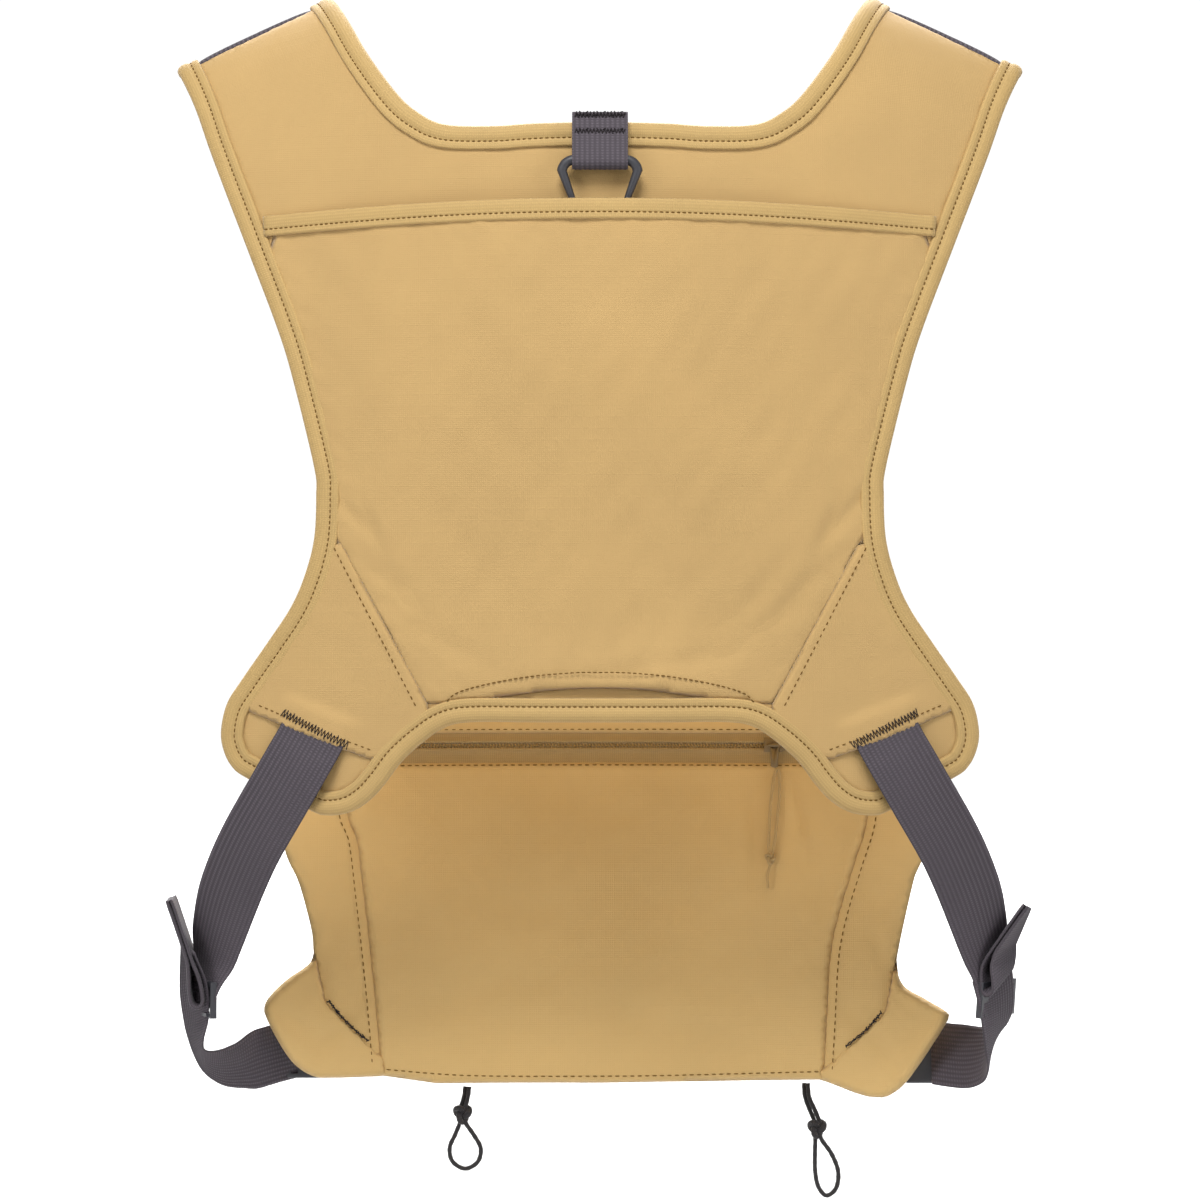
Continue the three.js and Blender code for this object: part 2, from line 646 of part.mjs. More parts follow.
// The strap's free end, folded back up beside the ladder lock.
const tailLeft = [
  [-199.5, 13, -439, -0.42, 0.9, 0, SIDE_WEB, 6.5],
  [-200.5, 14, -430, -0.36, 0.93, 0, SIDE_WEB, 5],
  [-202, 16, -415, -0.2, 0.98, 0, SIDE_WEB, 3.6],
  [-205.5, 20, -392, -0.05, 1, 0, SIDE_WEB, 3.6],
];
const tailRight = [
  [196, 10, -432.5, 0.48, 0.82, 0.32, SIDE_WEB, 6.5],
  [198, 9.5, -426, 0.4, 0.87, 0.2, SIDE_WEB, 5],
  [200, 10, -415, 0.25, 0.93, -0.1, SIDE_WEB, 3.6],
  [203.5, 13, -399.5, 0.0, 0.93, -0.38, SIDE_WEB, 3.6],
];

function makeSideStrap(side, label, lower, tail, buckleX) {
  const web = (name, stations, steps) =>
    add(`${name}_${label}`, ribbon(stations, SIDE_WEB, WEB_THICK, steps), charcoalWeb);
  web('side_webbing_upper', mirrored(upperPath, side), 16);
  web('side_webbing_lower', lower, 22);
  web('webbing_tail', tail, 8);
  const lock = ladderLock(SIDE_WEB);
  const bar = new THREE.Vector3(side * 0.52, 0.855, 0).normalize();
  const strap = new THREE.Vector3(side * 0.12, 0.35, -0.93);
  strap.addScaledVector(bar, -strap.dot(bar)).normalize();
  lock.applyMatrix4(new THREE.Matrix4().makeBasis(
    bar, strap, new THREE.Vector3().crossVectors(bar, strap)));
  lock.translate(side * 186.4, 11.5, -440.7);
  add(`side_ladder_lock_${label}`, lock, blackPlastic);

  const socket = buckleSocket();
  const plug = bucklePlug();
  for (const piece of [socket, plug]) {
    if (side < 0) piece.rotateZ(Math.PI);
    piece.translate(buckleX - side * (SOCKET_LENGTH / 2 + 12), 58.5, -469.5);
  }
  add(`buckle_socket_${label}`, socket, blackPlastic);
  add(`buckle_plug_${label}`, plug, blackPlastic);
}

// ---------------------------------------------------------------- chest pack

function packSurface(x, z) {
  return new THREE.Vector3(x, PACK_Y - PACK_RADIUS + Math.sqrt(PACK_RADIUS ** 2 - x ** 2), z);
}

const onPack = (x, z, d) => offset(packSurface, x, z, d);

// Turns and moves a geometry made about the origin to a place on the pack.
function seat(geometry, x, z, d) {
  geometry.rotateZ(-Math.asin(x / PACK_RADIUS));
  const at = onPack(x, z, d);
  return geometry.translate(at.x, at.y, at.z);
}
const PACK_STEP = 32;

const seamLeft = [[-127, -300], [-125.5, -330], [-121.7, -356.4], [-117.3, -368.4], [-114, -395.9],
  [-110.6, -426.3], [-107.7, -456.6], [-105.8, -481]];
const seamRight = [[127, -300], [129, -330], [128.9, -357.4], [122.6, -379.5], [115.9, -401.7],
  [111.5, -423.3], [109.6, -456.6], [108.1, -483]];
const outerLeft = [[-132, -268], [-148, -300], [-152, -340], [-150.5, -370.8], [-143.8, -387.7],
  [-138, -409.9], [-137.1, -419.5]];
const outerRight = [[132, -268], [148, -300], [154, -340], [154.4, -372.3], [150.1, -384.8],
  [144.8, -408.4], [141.9, -423.3]];
const wingLeft = [[-139, -426.3], [-150.5, -434.4], [-159.7, -444.5], [-158.8, -452.8],
  [-148.2, -472], [-138, -480.2], [-128.4, -481.5], [-106.5, -481.5]];
const wingRight = [[144.5, -436], [155.9, -443.1], [165.5, -448.9], [165.5, -453.2],
  [148.6, -480.2], [139, -489.4], [132.3, -490.8], [124.1, -489.4], [109, -484]];
const tackLeft = [[-131.7, -443.6], [-111.5, -464.8]];
const tackRight = [[137.4, -448.9], [112, -472]];

function makePackBack() {
  const left = smooth(seamLeft, 20);
  const right = smooth(seamRight, 20);
  const lower = (line) => line.filter(([, z]) => z < ZIP_BASE - 4);
  const panel = [[-125.5, ZIP_BASE - GAP], ...lower(left), [-78.8, -485.5], [0, -486], [47.9, -485],
    ...lower(right).reverse(), [129, ZIP_BASE - GAP]];
  add('pack_back_panel', laid(panel, 0, PACK_SKIN, PACK_STEP, onPack), packFabric);
  const top = [[-126, ZIP_TOP], [127.6, ZIP_TOP], [126.4, -300], [125.6, PACK_TOP], [-125.6, PACK_TOP],
    [-126.4, -300]];
  add('pack_top_panel', laid(top, 0, PACK_SKIN, PACK_STEP, onPack), packFabric);
  const tape = [[-125.5, ZIP_BASE], [128.5, ZIP_BASE], [128.5, ZIP_TOP - GAP], [-125.5, ZIP_TOP - GAP]];
  add('back_zip_tape', laid(tape, 0, 1, PACK_STEP, onPack), packFabric);
  const coil = [[-96.5, ZIP_MIDDLE - 1.6], [89, ZIP_MIDDLE - 1.6], [89, ZIP_MIDDLE + 1.6],
    [-96.5, ZIP_MIDDLE + 1.6]];
  add('back_zip_coil', laid(coil, 1.3, 2.5, PACK_STEP, onPack), zipCoil);
}

function makePackSide(side, label, seam, outer, wing, tack) {
  const away = (points) => points.map(([x, z]) => [x + side * GAP * 1.5, z]);
  const inner = away(smooth(seam, 20));
  const upperSeam = inner.filter(([, z]) => z > tack[1][1] + 3);
  const panel = [[side * 126.5, PACK_TOP], ...upperSeam, tack[1], tack[0], ...outer.slice().reverse()];
  add(`pack_side_${label}`, laid(panel, 0, PACK_SKIN, PACK_STEP, onPack), packFabric);
  const lowerSeam = inner.filter(([, z]) => z < tack[1][1] - 3);
  const [end, start] = [tack[1], tack[0]];
  const hip = [[start[0] + side * 0.6, start[1] - 0.8], [end[0] + side * 0.2, end[1] - 0.9],
    ...lowerSeam.slice(0, -1), ...wing.slice().reverse()];
  add(`hip_wing_${label}`, laid(hip, 0, PACK_SKIN, PACK_STEP, onPack), packFabric);
}

const roundedBox = (half, top, base, corner) => {
  const points = [];
  for (const [cx, cz, from] of [[half - corner, top - corner, 0], [-half + corner, top - corner, 90],
    [-half + corner, base + corner, 180], [half - corner, base + corner, 270]]) {
    for (let k = 0; k <= 3; k += 1) {
      const angle = THREE.MathUtils.degToRad(from + k * 30);
      points.push([cx + corner * Math.cos(angle), cz + corner * Math.sin(angle)]);
    }
  }
  return points;
};

// ---------------------------------------------------------------- zips, cords, assembly

const WIRE_OUT = 2.75;              // the pull's wire, out from the slider's base

// Slider: a plate over the coil and an arch that holds the pull's wire. Faces out along Y.
function zipSlider(out) {
  const plate = solid(block(11, 1.6, 7, 0, out * 0.8));
  const arch = solid(block(3, 3.4, 6, 0, out * 2.7));
  const hole = solid(block(4, 1.9, 3.4, 0, out * WIRE_OUT));
  return fromSolid(plate.add(arch.subtract(hole)));
}

const slider = { x: 85.3, z: ZIP_MIDDLE };

function makeBackZipPull() {
  const base = 2.8;
  add('back_zip_slider', seat(zipSlider(-1), slider.x, slider.z, base), sliderMetal);
  const wire = [[-2.6, 0], [-2.6, -7], [0, -12.5], [2.6, -7], [2.6, 0], [0, 0.1]]
    .map(([x, z]) => [x, 0, z]);
  const loop = closedBar(wire, 0.5, 24, 6, new THREE.Vector3(0, 1, 0));
  add('back_zip_pull', seat(loop, slider.x, slider.z, base + WIRE_OUT), sliderMetal);
  const wireY = onPack(slider.x, slider.z, base + WIRE_OUT).y;
  const strandA = [[86.3, wireY, -336], [86.4, wireY, -345], [85.2, wireY, -358], [83.3, wireY, -372.6]];
  const strandB = [[84.1, wireY, -336], [82.6, wireY, -345], [81.6, wireY, -358], [81.2, wireY, -372.6]];
  const end = [[81.6, wireY, -380.4], [80.6, wireY, -385], [80.9, wireY, -391]];
  add('back_pull_strand_a', cord(strandA, CORD - 0.4, 4), tanCord);
  add('back_pull_strand_b', cord(strandB, CORD - 0.4, 4), tanCord);
  add('back_pull_tail', cord(end, CORD - 0.4, 4), tanCord);
  const knot = new THREE.SphereGeometry(1, 10, 7);
  knot.scale(3.2, 2.4, 3.6);
  knot.translate(82, wireY, -376.5);
  add('back_pull_knot', knot, tanCord);
}

// A straight zip on the pack's front at depth d, its slider near the right-hand end.
function makeFrontZip(name, half, d, z, sliderX) {
  const coil = [[-half, z - 1.6], [half, z - 1.6], [half, z + 1.6], [-half, z + 1.6]];
  add(`${name}_coil`, laid(coil, d - GAP - 1.2, d - GAP, PACK_STEP, onPack), zipCoil);
  const base = d - 2 * GAP - 1.2;
  add(`${name}_slider`, seat(zipSlider(1), sliderX, z, base), sliderMetal);
  const tab = [[-2, 0], [-2.2, -8], [-4, -14], [-3.4, -28], [0, -31], [3.4, -28], [4, -14],
    [2.2, -8], [2, 0], [0, 0.1]].map(([dx, dz]) => [dx * 1.2, 0, dz]);
  const loop = closedBar(tab, 0.6, 24, 6, new THREE.Vector3(0, 1, 0));
  add(`${name}_pull`, seat(loop, sliderX, z, base - WIRE_OUT), tanCord);
}

function makeCordLoop(label, points, knotAt) {
  add(`cord_loop_${label}`, cord(points, CORD, 4), blackCord);
  const [x, y, z] = knotAt;
  const profile = [[2.9, -4.2], [4.1, -4.2], [4.7, -2.5], [4.7, 2.5], [4.1, 4.2], [2.9, 4.2], [2.9, -4.2]];
  const knot = new THREE.LatheGeometry(profile.map(([r, h]) => new THREE.Vector2(r, h)), 12);
  knot.rotateX(Math.PI / 2);
  knot.translate(x, y, z);
  add(`cord_knot_${label}`, knot, blackCord);
}

const HEM_Y = 76;
const loopLeft = [
  [-65.6, HEM_Y, -488.2], [-66.2, HEM_Y, -493], [-67.4, HEM_Y, -498], [-67.7, HEM_Y, -501],
  [-67.8, HEM_Y, -505], [-70, HEM_Y, -511], [-72.9, HEM_Y, -518], [-71.5, HEM_Y, -524.5],
  [-65.4, HEM_Y, -528], [-59.2, HEM_Y, -524.5], [-57.8, HEM_Y, -518], [-61.5, HEM_Y, -511],
  [-65.4, HEM_Y, -505], [-65.5, HEM_Y, -501], [-65.2, HEM_Y, -498], [-64, HEM_Y, -493],
  [-63.2, HEM_Y, -488.2],
];
const loopRight = [
  [98.4, HEM_Y, -486.5], [99, HEM_Y, -493], [101.8, HEM_Y, -500], [103.8, HEM_Y, -504.5],
  [104.2, HEM_Y, -508], [104.4, HEM_Y, -512.5], [104.2, HEM_Y, -521], [104.4, HEM_Y, -530],
  [106, HEM_Y, -537], [109.6, HEM_Y, -541], [114, HEM_Y, -538], [115.5, HEM_Y, -530],
  [112.4, HEM_Y, -521], [106.8, HEM_Y, -512.5], [106.5, HEM_Y, -508], [106.1, HEM_Y, -504.5],
  [104.1, HEM_Y, -498.5], [101.8, HEM_Y, -493], [101, HEM_Y, -486.5],
];

makeYoke();
makeStashPocket();
makeWingPanel(1, 'wing_panel_right');
makeWingPanel(-1, 'wing_panel_left');
makeNetRing();
makeShoulderStrap(1, 'right');
makeShoulderStrap(-1, 'left');
makeSideStrap(1, 'right', lowerRight, tailRight, 166);
makeSideStrap(-1, 'left', lowerLeft, tailLeft, -157.5);
makePackBack();
makePackSide(-1, 'left', seamLeft, outerLeft, wingLeft, tackLeft);
makePackSide(1, 'right', seamRight, outerRight, wingRight, tackRight);

const bodyBack = -2 * LAYER_GAP;
const bodyFront = bodyBack - BODY_DEPTH;
const pocketBack = bodyFront - 2 * LAYER_GAP;
const pocketFront = pocketBack - POCKET_DEPTH;
add('pack_body', laid(roundedBox(BODY_HALF, PACK_TOP, PACK_BASE, 22), bodyFront, bodyBack,
  PACK_STEP, onPack), packFabric);
add('front_pocket', laid(roundedBox(POCKET_HALF, -350, PACK_BASE + 14, 18), pocketFront,
  pocketBack, PACK_STEP, onPack), packFabric);
makeBackZipPull();
makeFrontZip('main_zip', 88, bodyFront, -300, 82);
makeFrontZip('front_zip', 70, pocketFront, -368, 62);
makeCordLoop('left', loopLeft, [-66.6, HEM_Y, -501.2]);
makeCordLoop('right', loopRight, [105.2, HEM_Y, -508.2]);

export default vest;
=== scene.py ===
"""Fishing vest: padded back yoke, shoulder straps, side webbing and a zipped chest pack."""

import math

import bpy
import numpy as np
from mathutils import Matrix, Vector, geometry


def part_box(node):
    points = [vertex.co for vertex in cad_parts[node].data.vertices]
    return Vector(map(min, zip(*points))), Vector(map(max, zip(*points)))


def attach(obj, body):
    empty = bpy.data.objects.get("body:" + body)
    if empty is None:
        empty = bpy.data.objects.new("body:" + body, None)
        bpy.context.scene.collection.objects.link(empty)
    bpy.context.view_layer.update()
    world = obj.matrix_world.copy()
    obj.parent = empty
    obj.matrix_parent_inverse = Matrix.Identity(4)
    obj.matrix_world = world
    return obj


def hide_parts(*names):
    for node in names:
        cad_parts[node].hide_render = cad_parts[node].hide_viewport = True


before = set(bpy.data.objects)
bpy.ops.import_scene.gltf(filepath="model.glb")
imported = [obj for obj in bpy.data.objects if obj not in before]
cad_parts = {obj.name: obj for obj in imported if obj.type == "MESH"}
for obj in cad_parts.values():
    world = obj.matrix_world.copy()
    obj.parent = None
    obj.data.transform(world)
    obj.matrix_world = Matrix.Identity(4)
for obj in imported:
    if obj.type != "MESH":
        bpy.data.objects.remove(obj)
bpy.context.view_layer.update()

bl_info = {
    "name": "Fishing Vest",
    "version": (1, 0, 0),
    "blender": (4, 5, 0),
    "location": "View3D > Sidebar > Vest",
    "description": "Builds a harness-style fishing vest around its frame",
    "category": "Object",
}

MM = 0.001
BODY = "vest"


def linear(text):
    """An sRGB hex colour as linear RGBA."""
    parts = [int(text[i:i + 2], 16) / 255 for i in (0, 2, 4)]
    return tuple(c / 12.92 if c <= 0.04045 else ((c + 0.055) / 1.055) ** 2.4 for c in parts) + (1.0,)


# ------------------------------------------------------------------ the garment's shape, in mm

YOKE_Y = -90.0
BACK_ROUND = 15.0
BACK_ARCH = 8.0
ARCH_Z = -170.0
ARCH_REACH = 140.0
CREST_SLOPE = math.radians(24.8)
CREST_HEIGHT = 77.5
CREST_Y = -10.0
CREST_RADIUS = 70.0
BEND_START = CREST_HEIGHT - CREST_RADIUS
BINDING_WIDTH = 11.0
TUCK = 4.0                      # how far a panel runs on under its binding

POCKET_BULGE = 10.0
POCKET_TOP = -71.0
WING_SEAM_TOP = (118.0, -225.5)
WING_SEAM_BASE = (78.0, -300.0)
COVER_SEAM_OUT = (161.0, -304.0)
COVER_SEAM_IN = (105.5, -325.2)

PACK_Y = 72.0
PACK_RADIUS = 357.0
PACK_TOP = -262.0
PACK_BASE = -483.0
ZIP_BASE = -329.0
ZIP_MIDDLE = -322.0

NECK_SIDE = [(0, -34.5), (30, -35), (48.5, -36), (70.5, -35), (82.5, -29.5), (93, -20),
             (107, -0.5), (117, 17), (125, 27.6)]
ARM_SIDE = [(197.7, -6), (189.5, -21), (180, -46), (161.5, -93), (148, -128), (141, -150.5),
            (131, -191), (130, -204), (131, -224), (135.5, -241), (142, -255.5), (152.5, -271),
            (165, -288.5), (172.5, -300), (175.5, -312.5), (174.5, -321.5), (170.5, -329.5),
            (163, -335), (134, -349), (126, -351.5), (115, -350), (106, -344.5), (99, -337),
            (91, -326.5), (80.5, -317), (70, -310.2), (58, -308), (30, -308), (0, -308)]


def unit(vectors, least=0.0):
    """The same directions, each made one long."""
    return vectors / np.maximum(np.linalg.norm(vectors, axis=-1, keepdims=True), least)


def mirror_x(points):
    """The same plane points on the other side of the middle."""
    return [(-x, z) for x, z in points]


def to_crest(x, z):
    """Distances along and across a shoulder's crest line."""
    c, s = math.cos(CREST_SLOPE), math.sin(CREST_SLOPE)
    return np.abs(x) * c - z * s, np.abs(x) * s + z * c


def from_crest(side, a, b):
    """Back from distances along and across a crest line to x and z; side is 1 or -1."""
    c, s = math.cos(CREST_SLOPE), math.sin(CREST_SLOPE)
    return side * (a * c + b * s), b * c - a * s


def unroll(point):
    """Lays a point that is seen from behind out flat, as the pattern is cut."""
    x, z = point
    a, b = to_crest(x, z)
    if b <= BEND_START:
        return (x, z)
    angle = math.asin(min(1.0, (b - BEND_START) / CREST_RADIUS))
    return from_crest(math.copysign(1, x), a, BEND_START + CREST_RADIUS * angle)


def yoke_surface(x, z):
    """The yoke's middle: arched over the back, then bent round each shoulder's crest."""
    a, b = to_crest(x, z)
    angle = np.maximum(0.0, (b - BEND_START) / CREST_RADIUS)
    bent_x, bent_z = from_crest(np.sign(x), a, BEND_START + CREST_RADIUS * np.sin(angle))
    px = np.where(angle > 0, bent_x, x)
    pz = np.where(angle > 0, bent_z, z)
    flat = YOKE_Y + BACK_ROUND * (px / 100) ** 2 + BACK_ARCH * ((pz - ARCH_Z) / ARCH_REACH) ** 2
    return np.stack([px, flat + (CREST_Y - flat) * (1 - np.cos(angle)), pz], axis=-1)


def pack_surface(x, z):
    """The pack's back, an upright curve across the chest."""
    y = PACK_Y - PACK_RADIUS + np.sqrt(PACK_RADIUS ** 2 - x ** 2)
    return np.stack([x, y, z], axis=-1)


def offset(surface, x, z, d):
    """Points d out from a surface along its normal, which looks towards -Y."""
    x, z, d = np.broadcast_arrays(*(np.asarray(v, float) for v in (x, z, d)))
    e = 0.5
    dx = surface(x + e, z) - surface(x - e, z)
    dz = surface(x, z + e) - surface(x, z - e)
    return surface(x, z) + unit(np.cross(dx, dz)) * d[..., None]


def on_yoke(x, z, d):
    """Points d out from the yoke's middle, away from the wearer's back."""
    return offset(yoke_surface, x, z, d)


def on_pack(x, z, d):
    """Points d out from the pack's back, towards the wearer's chest."""
    return offset(pack_surface, x, z, d)


def smooth_step(t):
    """An even rise from nought to one as t does."""
    t = np.clip(t, 0, 1)
    return t * t * (3 - 2 * t)


def pocket_bulge(x, z):
    """How far the stash pocket stands off the yoke: most under its band, none at its sides."""
    across = np.maximum(0, 1 - (np.asarray(x) / 150) ** 2) ** 2
    down = 1 - smooth_step((POCKET_TOP - 50 - np.asarray(z)) / 150)
    return POCKET_BULGE * across * down


def on_pocket(x, z, d):
    """Points on the yoke with the pocket's bulge added."""
    return on_yoke(x, z, d + pocket_bulge(x, z))


# ------------------------------------------------------------------ lines

def run_along(line):
    """The distance from a line's start to each of its points."""
    return np.concatenate([[0], np.cumsum(np.linalg.norm(np.diff(line, axis=0), axis=1))])


def at_runs(values, run, at):
    """What a line's values are at chosen distances from its start."""
    return np.stack([np.interp(at, run, column) for column in np.asarray(values).T], axis=-1)


def smooth_line(points, step):
    """Evenly spaced points on a smooth curve through a few given ones."""
    p = np.asarray(points, float)
    ends = np.vstack([p[:1], p, p[-1:]])
    dense = []
    for i in range(len(p) - 1):
        p0, p1, p2, p3 = ends[i:i + 4]
        for t in np.linspace(0, 1, 24, endpoint=False):
            v0, v1 = (p2 - p0) * 0.5, (p3 - p1) * 0.5
            dense.append((2 * p1 - 2 * p2 + v0 + v1) * t ** 3
                         + (-3 * p1 + 3 * p2 - 2 * v0 - v1) * t ** 2 + v0 * t + p1)
    dense.append(p[-1])
    return respace(np.array(dense), step)


def respace(points, step, closed=False):
    """The same line with its points an even distance apart."""
    p = np.asarray(points, float)
    if closed:
        p = np.vstack([p, p[:1]])
    run = run_along(p)
    count = max(2, int(round(run[-1] / step)) + 1)
    line = at_runs(p, run, np.linspace(0, run[-1], count))
    return line[:-1] if closed else line


def beside(line, distance):
    """The same plane line moved sideways, to its left for a positive distance."""
    p = np.asarray(line, float)
    along = unit(np.gradient(p, axis=0))
    return p + np.stack([-along[:, 1], along[:, 0]], axis=-1) * distance


def stretch(line, start, end):
    """The stretch of a line between its points nearest to two given ones."""
    near = [int(np.argmin(np.linalg.norm(line - np.array(p), axis=1))) for p in (start, end)]
    return line[near[0]:near[1] + 1]


def spline(points, t):
    """A centripetal spline through points at an array of places from 0 to 1."""
    p = np.asarray(points, float)
    p = np.vstack([2 * p[0] - p[1], p, 2 * p[-1] - p[-2]])
    place = np.clip(np.asarray(t, float), 0, 1) * (len(p) - 3)
    i = np.minimum(place.astype(int), len(p) - 4)
    w = (place - i)[:, None]
    p0, p1, p2, p3 = p[i], p[i + 1], p[i + 2], p[i + 3]
    gap = [np.maximum(np.linalg.norm(b - a, axis=1, keepdims=True) ** 0.5, 1e-4)
           for a, b in ((p0, p1), (p1, p2), (p2, p3))]
    m1 = ((p1 - p0) / gap[0] - (p2 - p0) / (gap[0] + gap[1]) + (p2 - p1) / gap[1]) * gap[1]
    m2 = ((p2 - p1) / gap[1] - (p3 - p1) / (gap[1] + gap[2]) + (p3 - p2) / gap[2]) * gap[1]
    return ((2 * p1 - 2 * p2 + m1 + m2) * w ** 3
            + (-3 * p1 + 3 * p2 - 2 * m1 - m2) * w ** 2 + m1 * w + p1)


def distance_to(points, line):
    """How far each plane point is from a line."""
    p = np.asarray(points, float)
    a, b = np.asarray(line[:-1], float), np.asarray(line[1:], float)
    best = np.full(len(p), 1e9)
    for start, end in zip(a, b):
        run = end - start
        t = np.clip(((p - start) @ run) / max(run @ run, 1e-9), 0, 1)
        best = np.minimum(best, np.linalg.norm(p - (start + t[:, None] * run), axis=1))
    return best


def swell(x, z, length, seed):
    """Gentle unevenness, about one either way, with bumps about length across."""
    random = np.random.RandomState(seed)
    total = np.zeros_like(np.asarray(x, float))
    for _ in range(7):
        angle = random.uniform(0, math.pi)
        k = 2 * math.pi / (length * random.uniform(0.7, 1.6))
        total += np.sin(k * (x * math.cos(angle) + z * math.sin(angle)) + random.uniform(0, 6.3))
    return total / 3.5


# ------------------------------------------------------------------ mesh building

def finish(name, points, faces, slot, uvs=None, body=BODY, smooth=True):
    """Makes a piece from points in mm, with its map in metres, and hangs it on a body."""
    mesh = bpy.data.meshes.new(name)
    mesh.from_pydata((np.asarray(points, float) * MM).tolist(), [], faces)
    mesh.polygons.foreach_set("use_smooth", [smooth] * len(mesh.polygons))
    if uvs is not None:
        layer = mesh.uv_layers.new(name="Weave")
        corners = np.empty(len(mesh.loops), int)
        mesh.loops.foreach_get("vertex_index", corners)
        layer.data.foreach_set("uv", (np.asarray(uvs, float)[corners] * MM).ravel())
    mesh.update()
    piece = bpy.data.objects.new(name, mesh)
    bpy.context.scene.collection.objects.link(piece)
    settle(piece, slot, body)
    return piece


def settle(piece, slot, body=BODY):
    """Gives a piece its finish and the body that it rides on."""
    piece.data.materials.clear()
    piece.data.materials.append(finish_for(slot))
    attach(piece, body)


def triangles(outline, step):
    """Even triangles that fill a plane outline, and each point's distance from the edge."""
    rim = respace(outline, step, closed=True)
    low, high = rim.min(axis=0), rim.max(axis=0)
    rows = np.arange(low[1], high[1], step * 0.866)
    inner = []
    for number, z in enumerate(rows):
        columns = np.arange(low[0] + (number % 2) * step / 2, high[0], step)
        crossing = (rim[:, 1] > z) != (np.roll(rim, -1, axis=0)[:, 1] > z)
        a, b = rim[crossing], np.roll(rim, -1, axis=0)[crossing]
        cuts = np.sort(a[:, 0] + (z - a[:, 1]) * (b[:, 0] - a[:, 0]) / (b[:, 1] - a[:, 1]))
        for x0, x1 in zip(cuts[::2], cuts[1::2]):
            kept = columns[(columns > x0) & (columns < x1)]
            inner.append(np.stack([kept, np.full(len(kept), z)], axis=-1))
    inner = np.vstack(inner)
    ring = np.vstack([rim, rim[:1]])
    inner = inner[distance_to(inner, ring) > step * 0.55]
    flat = np.vstack([rim, inner])
    edges = [(i, (i + 1) % len(rim)) for i in range(len(rim))]
    made = geometry.delaunay_2d_cdt([Vector(p) for p in flat], edges, [], 1, 1e-5)
    flat = np.array([tuple(v) for v in made[0]])
    return flat, [tuple(f) for f in made[2]], distance_to(flat, ring)


def cloth_panel(name, outline, step, place, base, thick, slot, relief=None, roll=2.5):
    """A closed piece of cloth laid on a surface, its edge rolled down to a fine line."""
    flat, faces, edge = triangles(outline, step)
    x, z = flat[:, 0], flat[:, 1]
    rise = thick * np.sqrt(1 - (1 - np.clip(edge / roll, 0, 1)) ** 2)
    shape = relief(x, z, edge) if relief else np.zeros(len(x))
    rim = edge < step * 0.05
    top = place(x, z, base + np.maximum(rise, 0.02) + np.where(rim, 0, shape))
    under = place(x, z, base + np.where(rim, 0, shape))
    count = len(flat)
    spare = {i: i + count for i in range(count)}
    for i in np.nonzero(rim)[0]:
        spare[i] = i
    both = faces + [tuple(spare[i] for i in reversed(f)) for f in faces]
    used = sorted({i for f in both for i in f})
    number = {old: new for new, old in enumerate(used)}
    points = np.vstack([top, under])[used]
    uvs = np.vstack([flat, flat])[used]
    return finish(name, points, [tuple(number[i] for i in f) for f in both], slot, uvs)


def sweep(name, rings, slot, uvs=None, closed=False, body=BODY):
    """Skins rings of equal point count, capping the ends of an open one."""
    rings = np.asarray(rings, float)
    count, sides = rings.shape[:2]
    faces = []
    for i in range(count if closed else count - 1):
        j = (i + 1) % count
        for k in range(sides):
            n = (k + 1) % sides
            faces.append((i * sides + k, i * sides + n, j * sides + n, j * sides + k))
    if not closed:
        faces.append(tuple(reversed(range(sides))))
        faces.append(tuple(range((count - 1) * sides, count * sides)))
    flat_uvs = None if uvs is None else np.asarray(uvs, float).reshape(-1, 2)
    piece = finish(name, rings.reshape(-1, 3), faces, slot, flat_uvs, body)
    recalculate(piece)
    return piece


def only(piece):
    """Makes one piece the selected and active one."""
    bpy.ops.object.select_all(action="DESELECT")
    piece.select_set(True)
    bpy.context.view_layer.objects.active = piece


def recalculate(piece):
    """Turns a closed skin's faces outwards."""
    only(piece)
    bpy.ops.object.mode_set(mode="EDIT")
    bpy.ops.mesh.select_all(action="SELECT")
    bpy.ops.mesh.normals_make_consistent(inside=False)
    bpy.ops.object.mode_set(mode="OBJECT")


def ridged(section, pitch=1.25, depth=0.1):
    """The same section with fine lengthwise ridges on its two faces."""
    p = np.vstack([section, section[:1]])
    run = run_along(p)
    fine = at_runs(p, run, np.arange(0, run[-1], pitch / 4))
    ridges = 0.5 - 0.5 * np.cos(2 * math.pi * fine[:, 0] / pitch)
    fine[:, 1] -= np.sign(fine[:, 1]) * depth * ridges
    return [tuple(row) for row in fine]


def edge_band(name, line, section, place, slot):
    """Tape folded over a sewn edge. section holds (in from the edge, out from the middle)."""
    rings, uvs = [], []
    run = run_along(line)
    for s, d in section:
        moved = beside(line, -s)
        rings.append(place(moved[:, 0], moved[:, 1], np.full(len(line), d)))
        uvs.append(np.stack([np.full(len(line), s if d > 0 else -s), run], axis=-1))
    return sweep(name, np.stack(rings, axis=1), slot, np.stack(uvs, axis=1))


def web_section(width, thick, ribs, depth=0.16):
    """Half-open outline of ribbed webbing: list of (across, out), going once round."""
    half, edge = width / 2, thick / 2
    count = ribs * 4
    across = np.linspace(-half + edge * 0.6, half - edge * 0.6, count + 1)
    wave = depth * (0.5 - 0.5 * np.cos(np.linspace(0, 2 * math.pi * ribs, count + 1)))
    top = [(u, edge - depth + w) for u, w in zip(across, wave)]
    bottom = [(u, -edge + depth - w) for u, w in zip(across[::-1], wave[::-1])]
    return top + [(half, edge * 0.45), (half, -edge * 0.45)] + bottom \
        + [(-half, -edge * 0.45), (-half, edge * 0.45)]


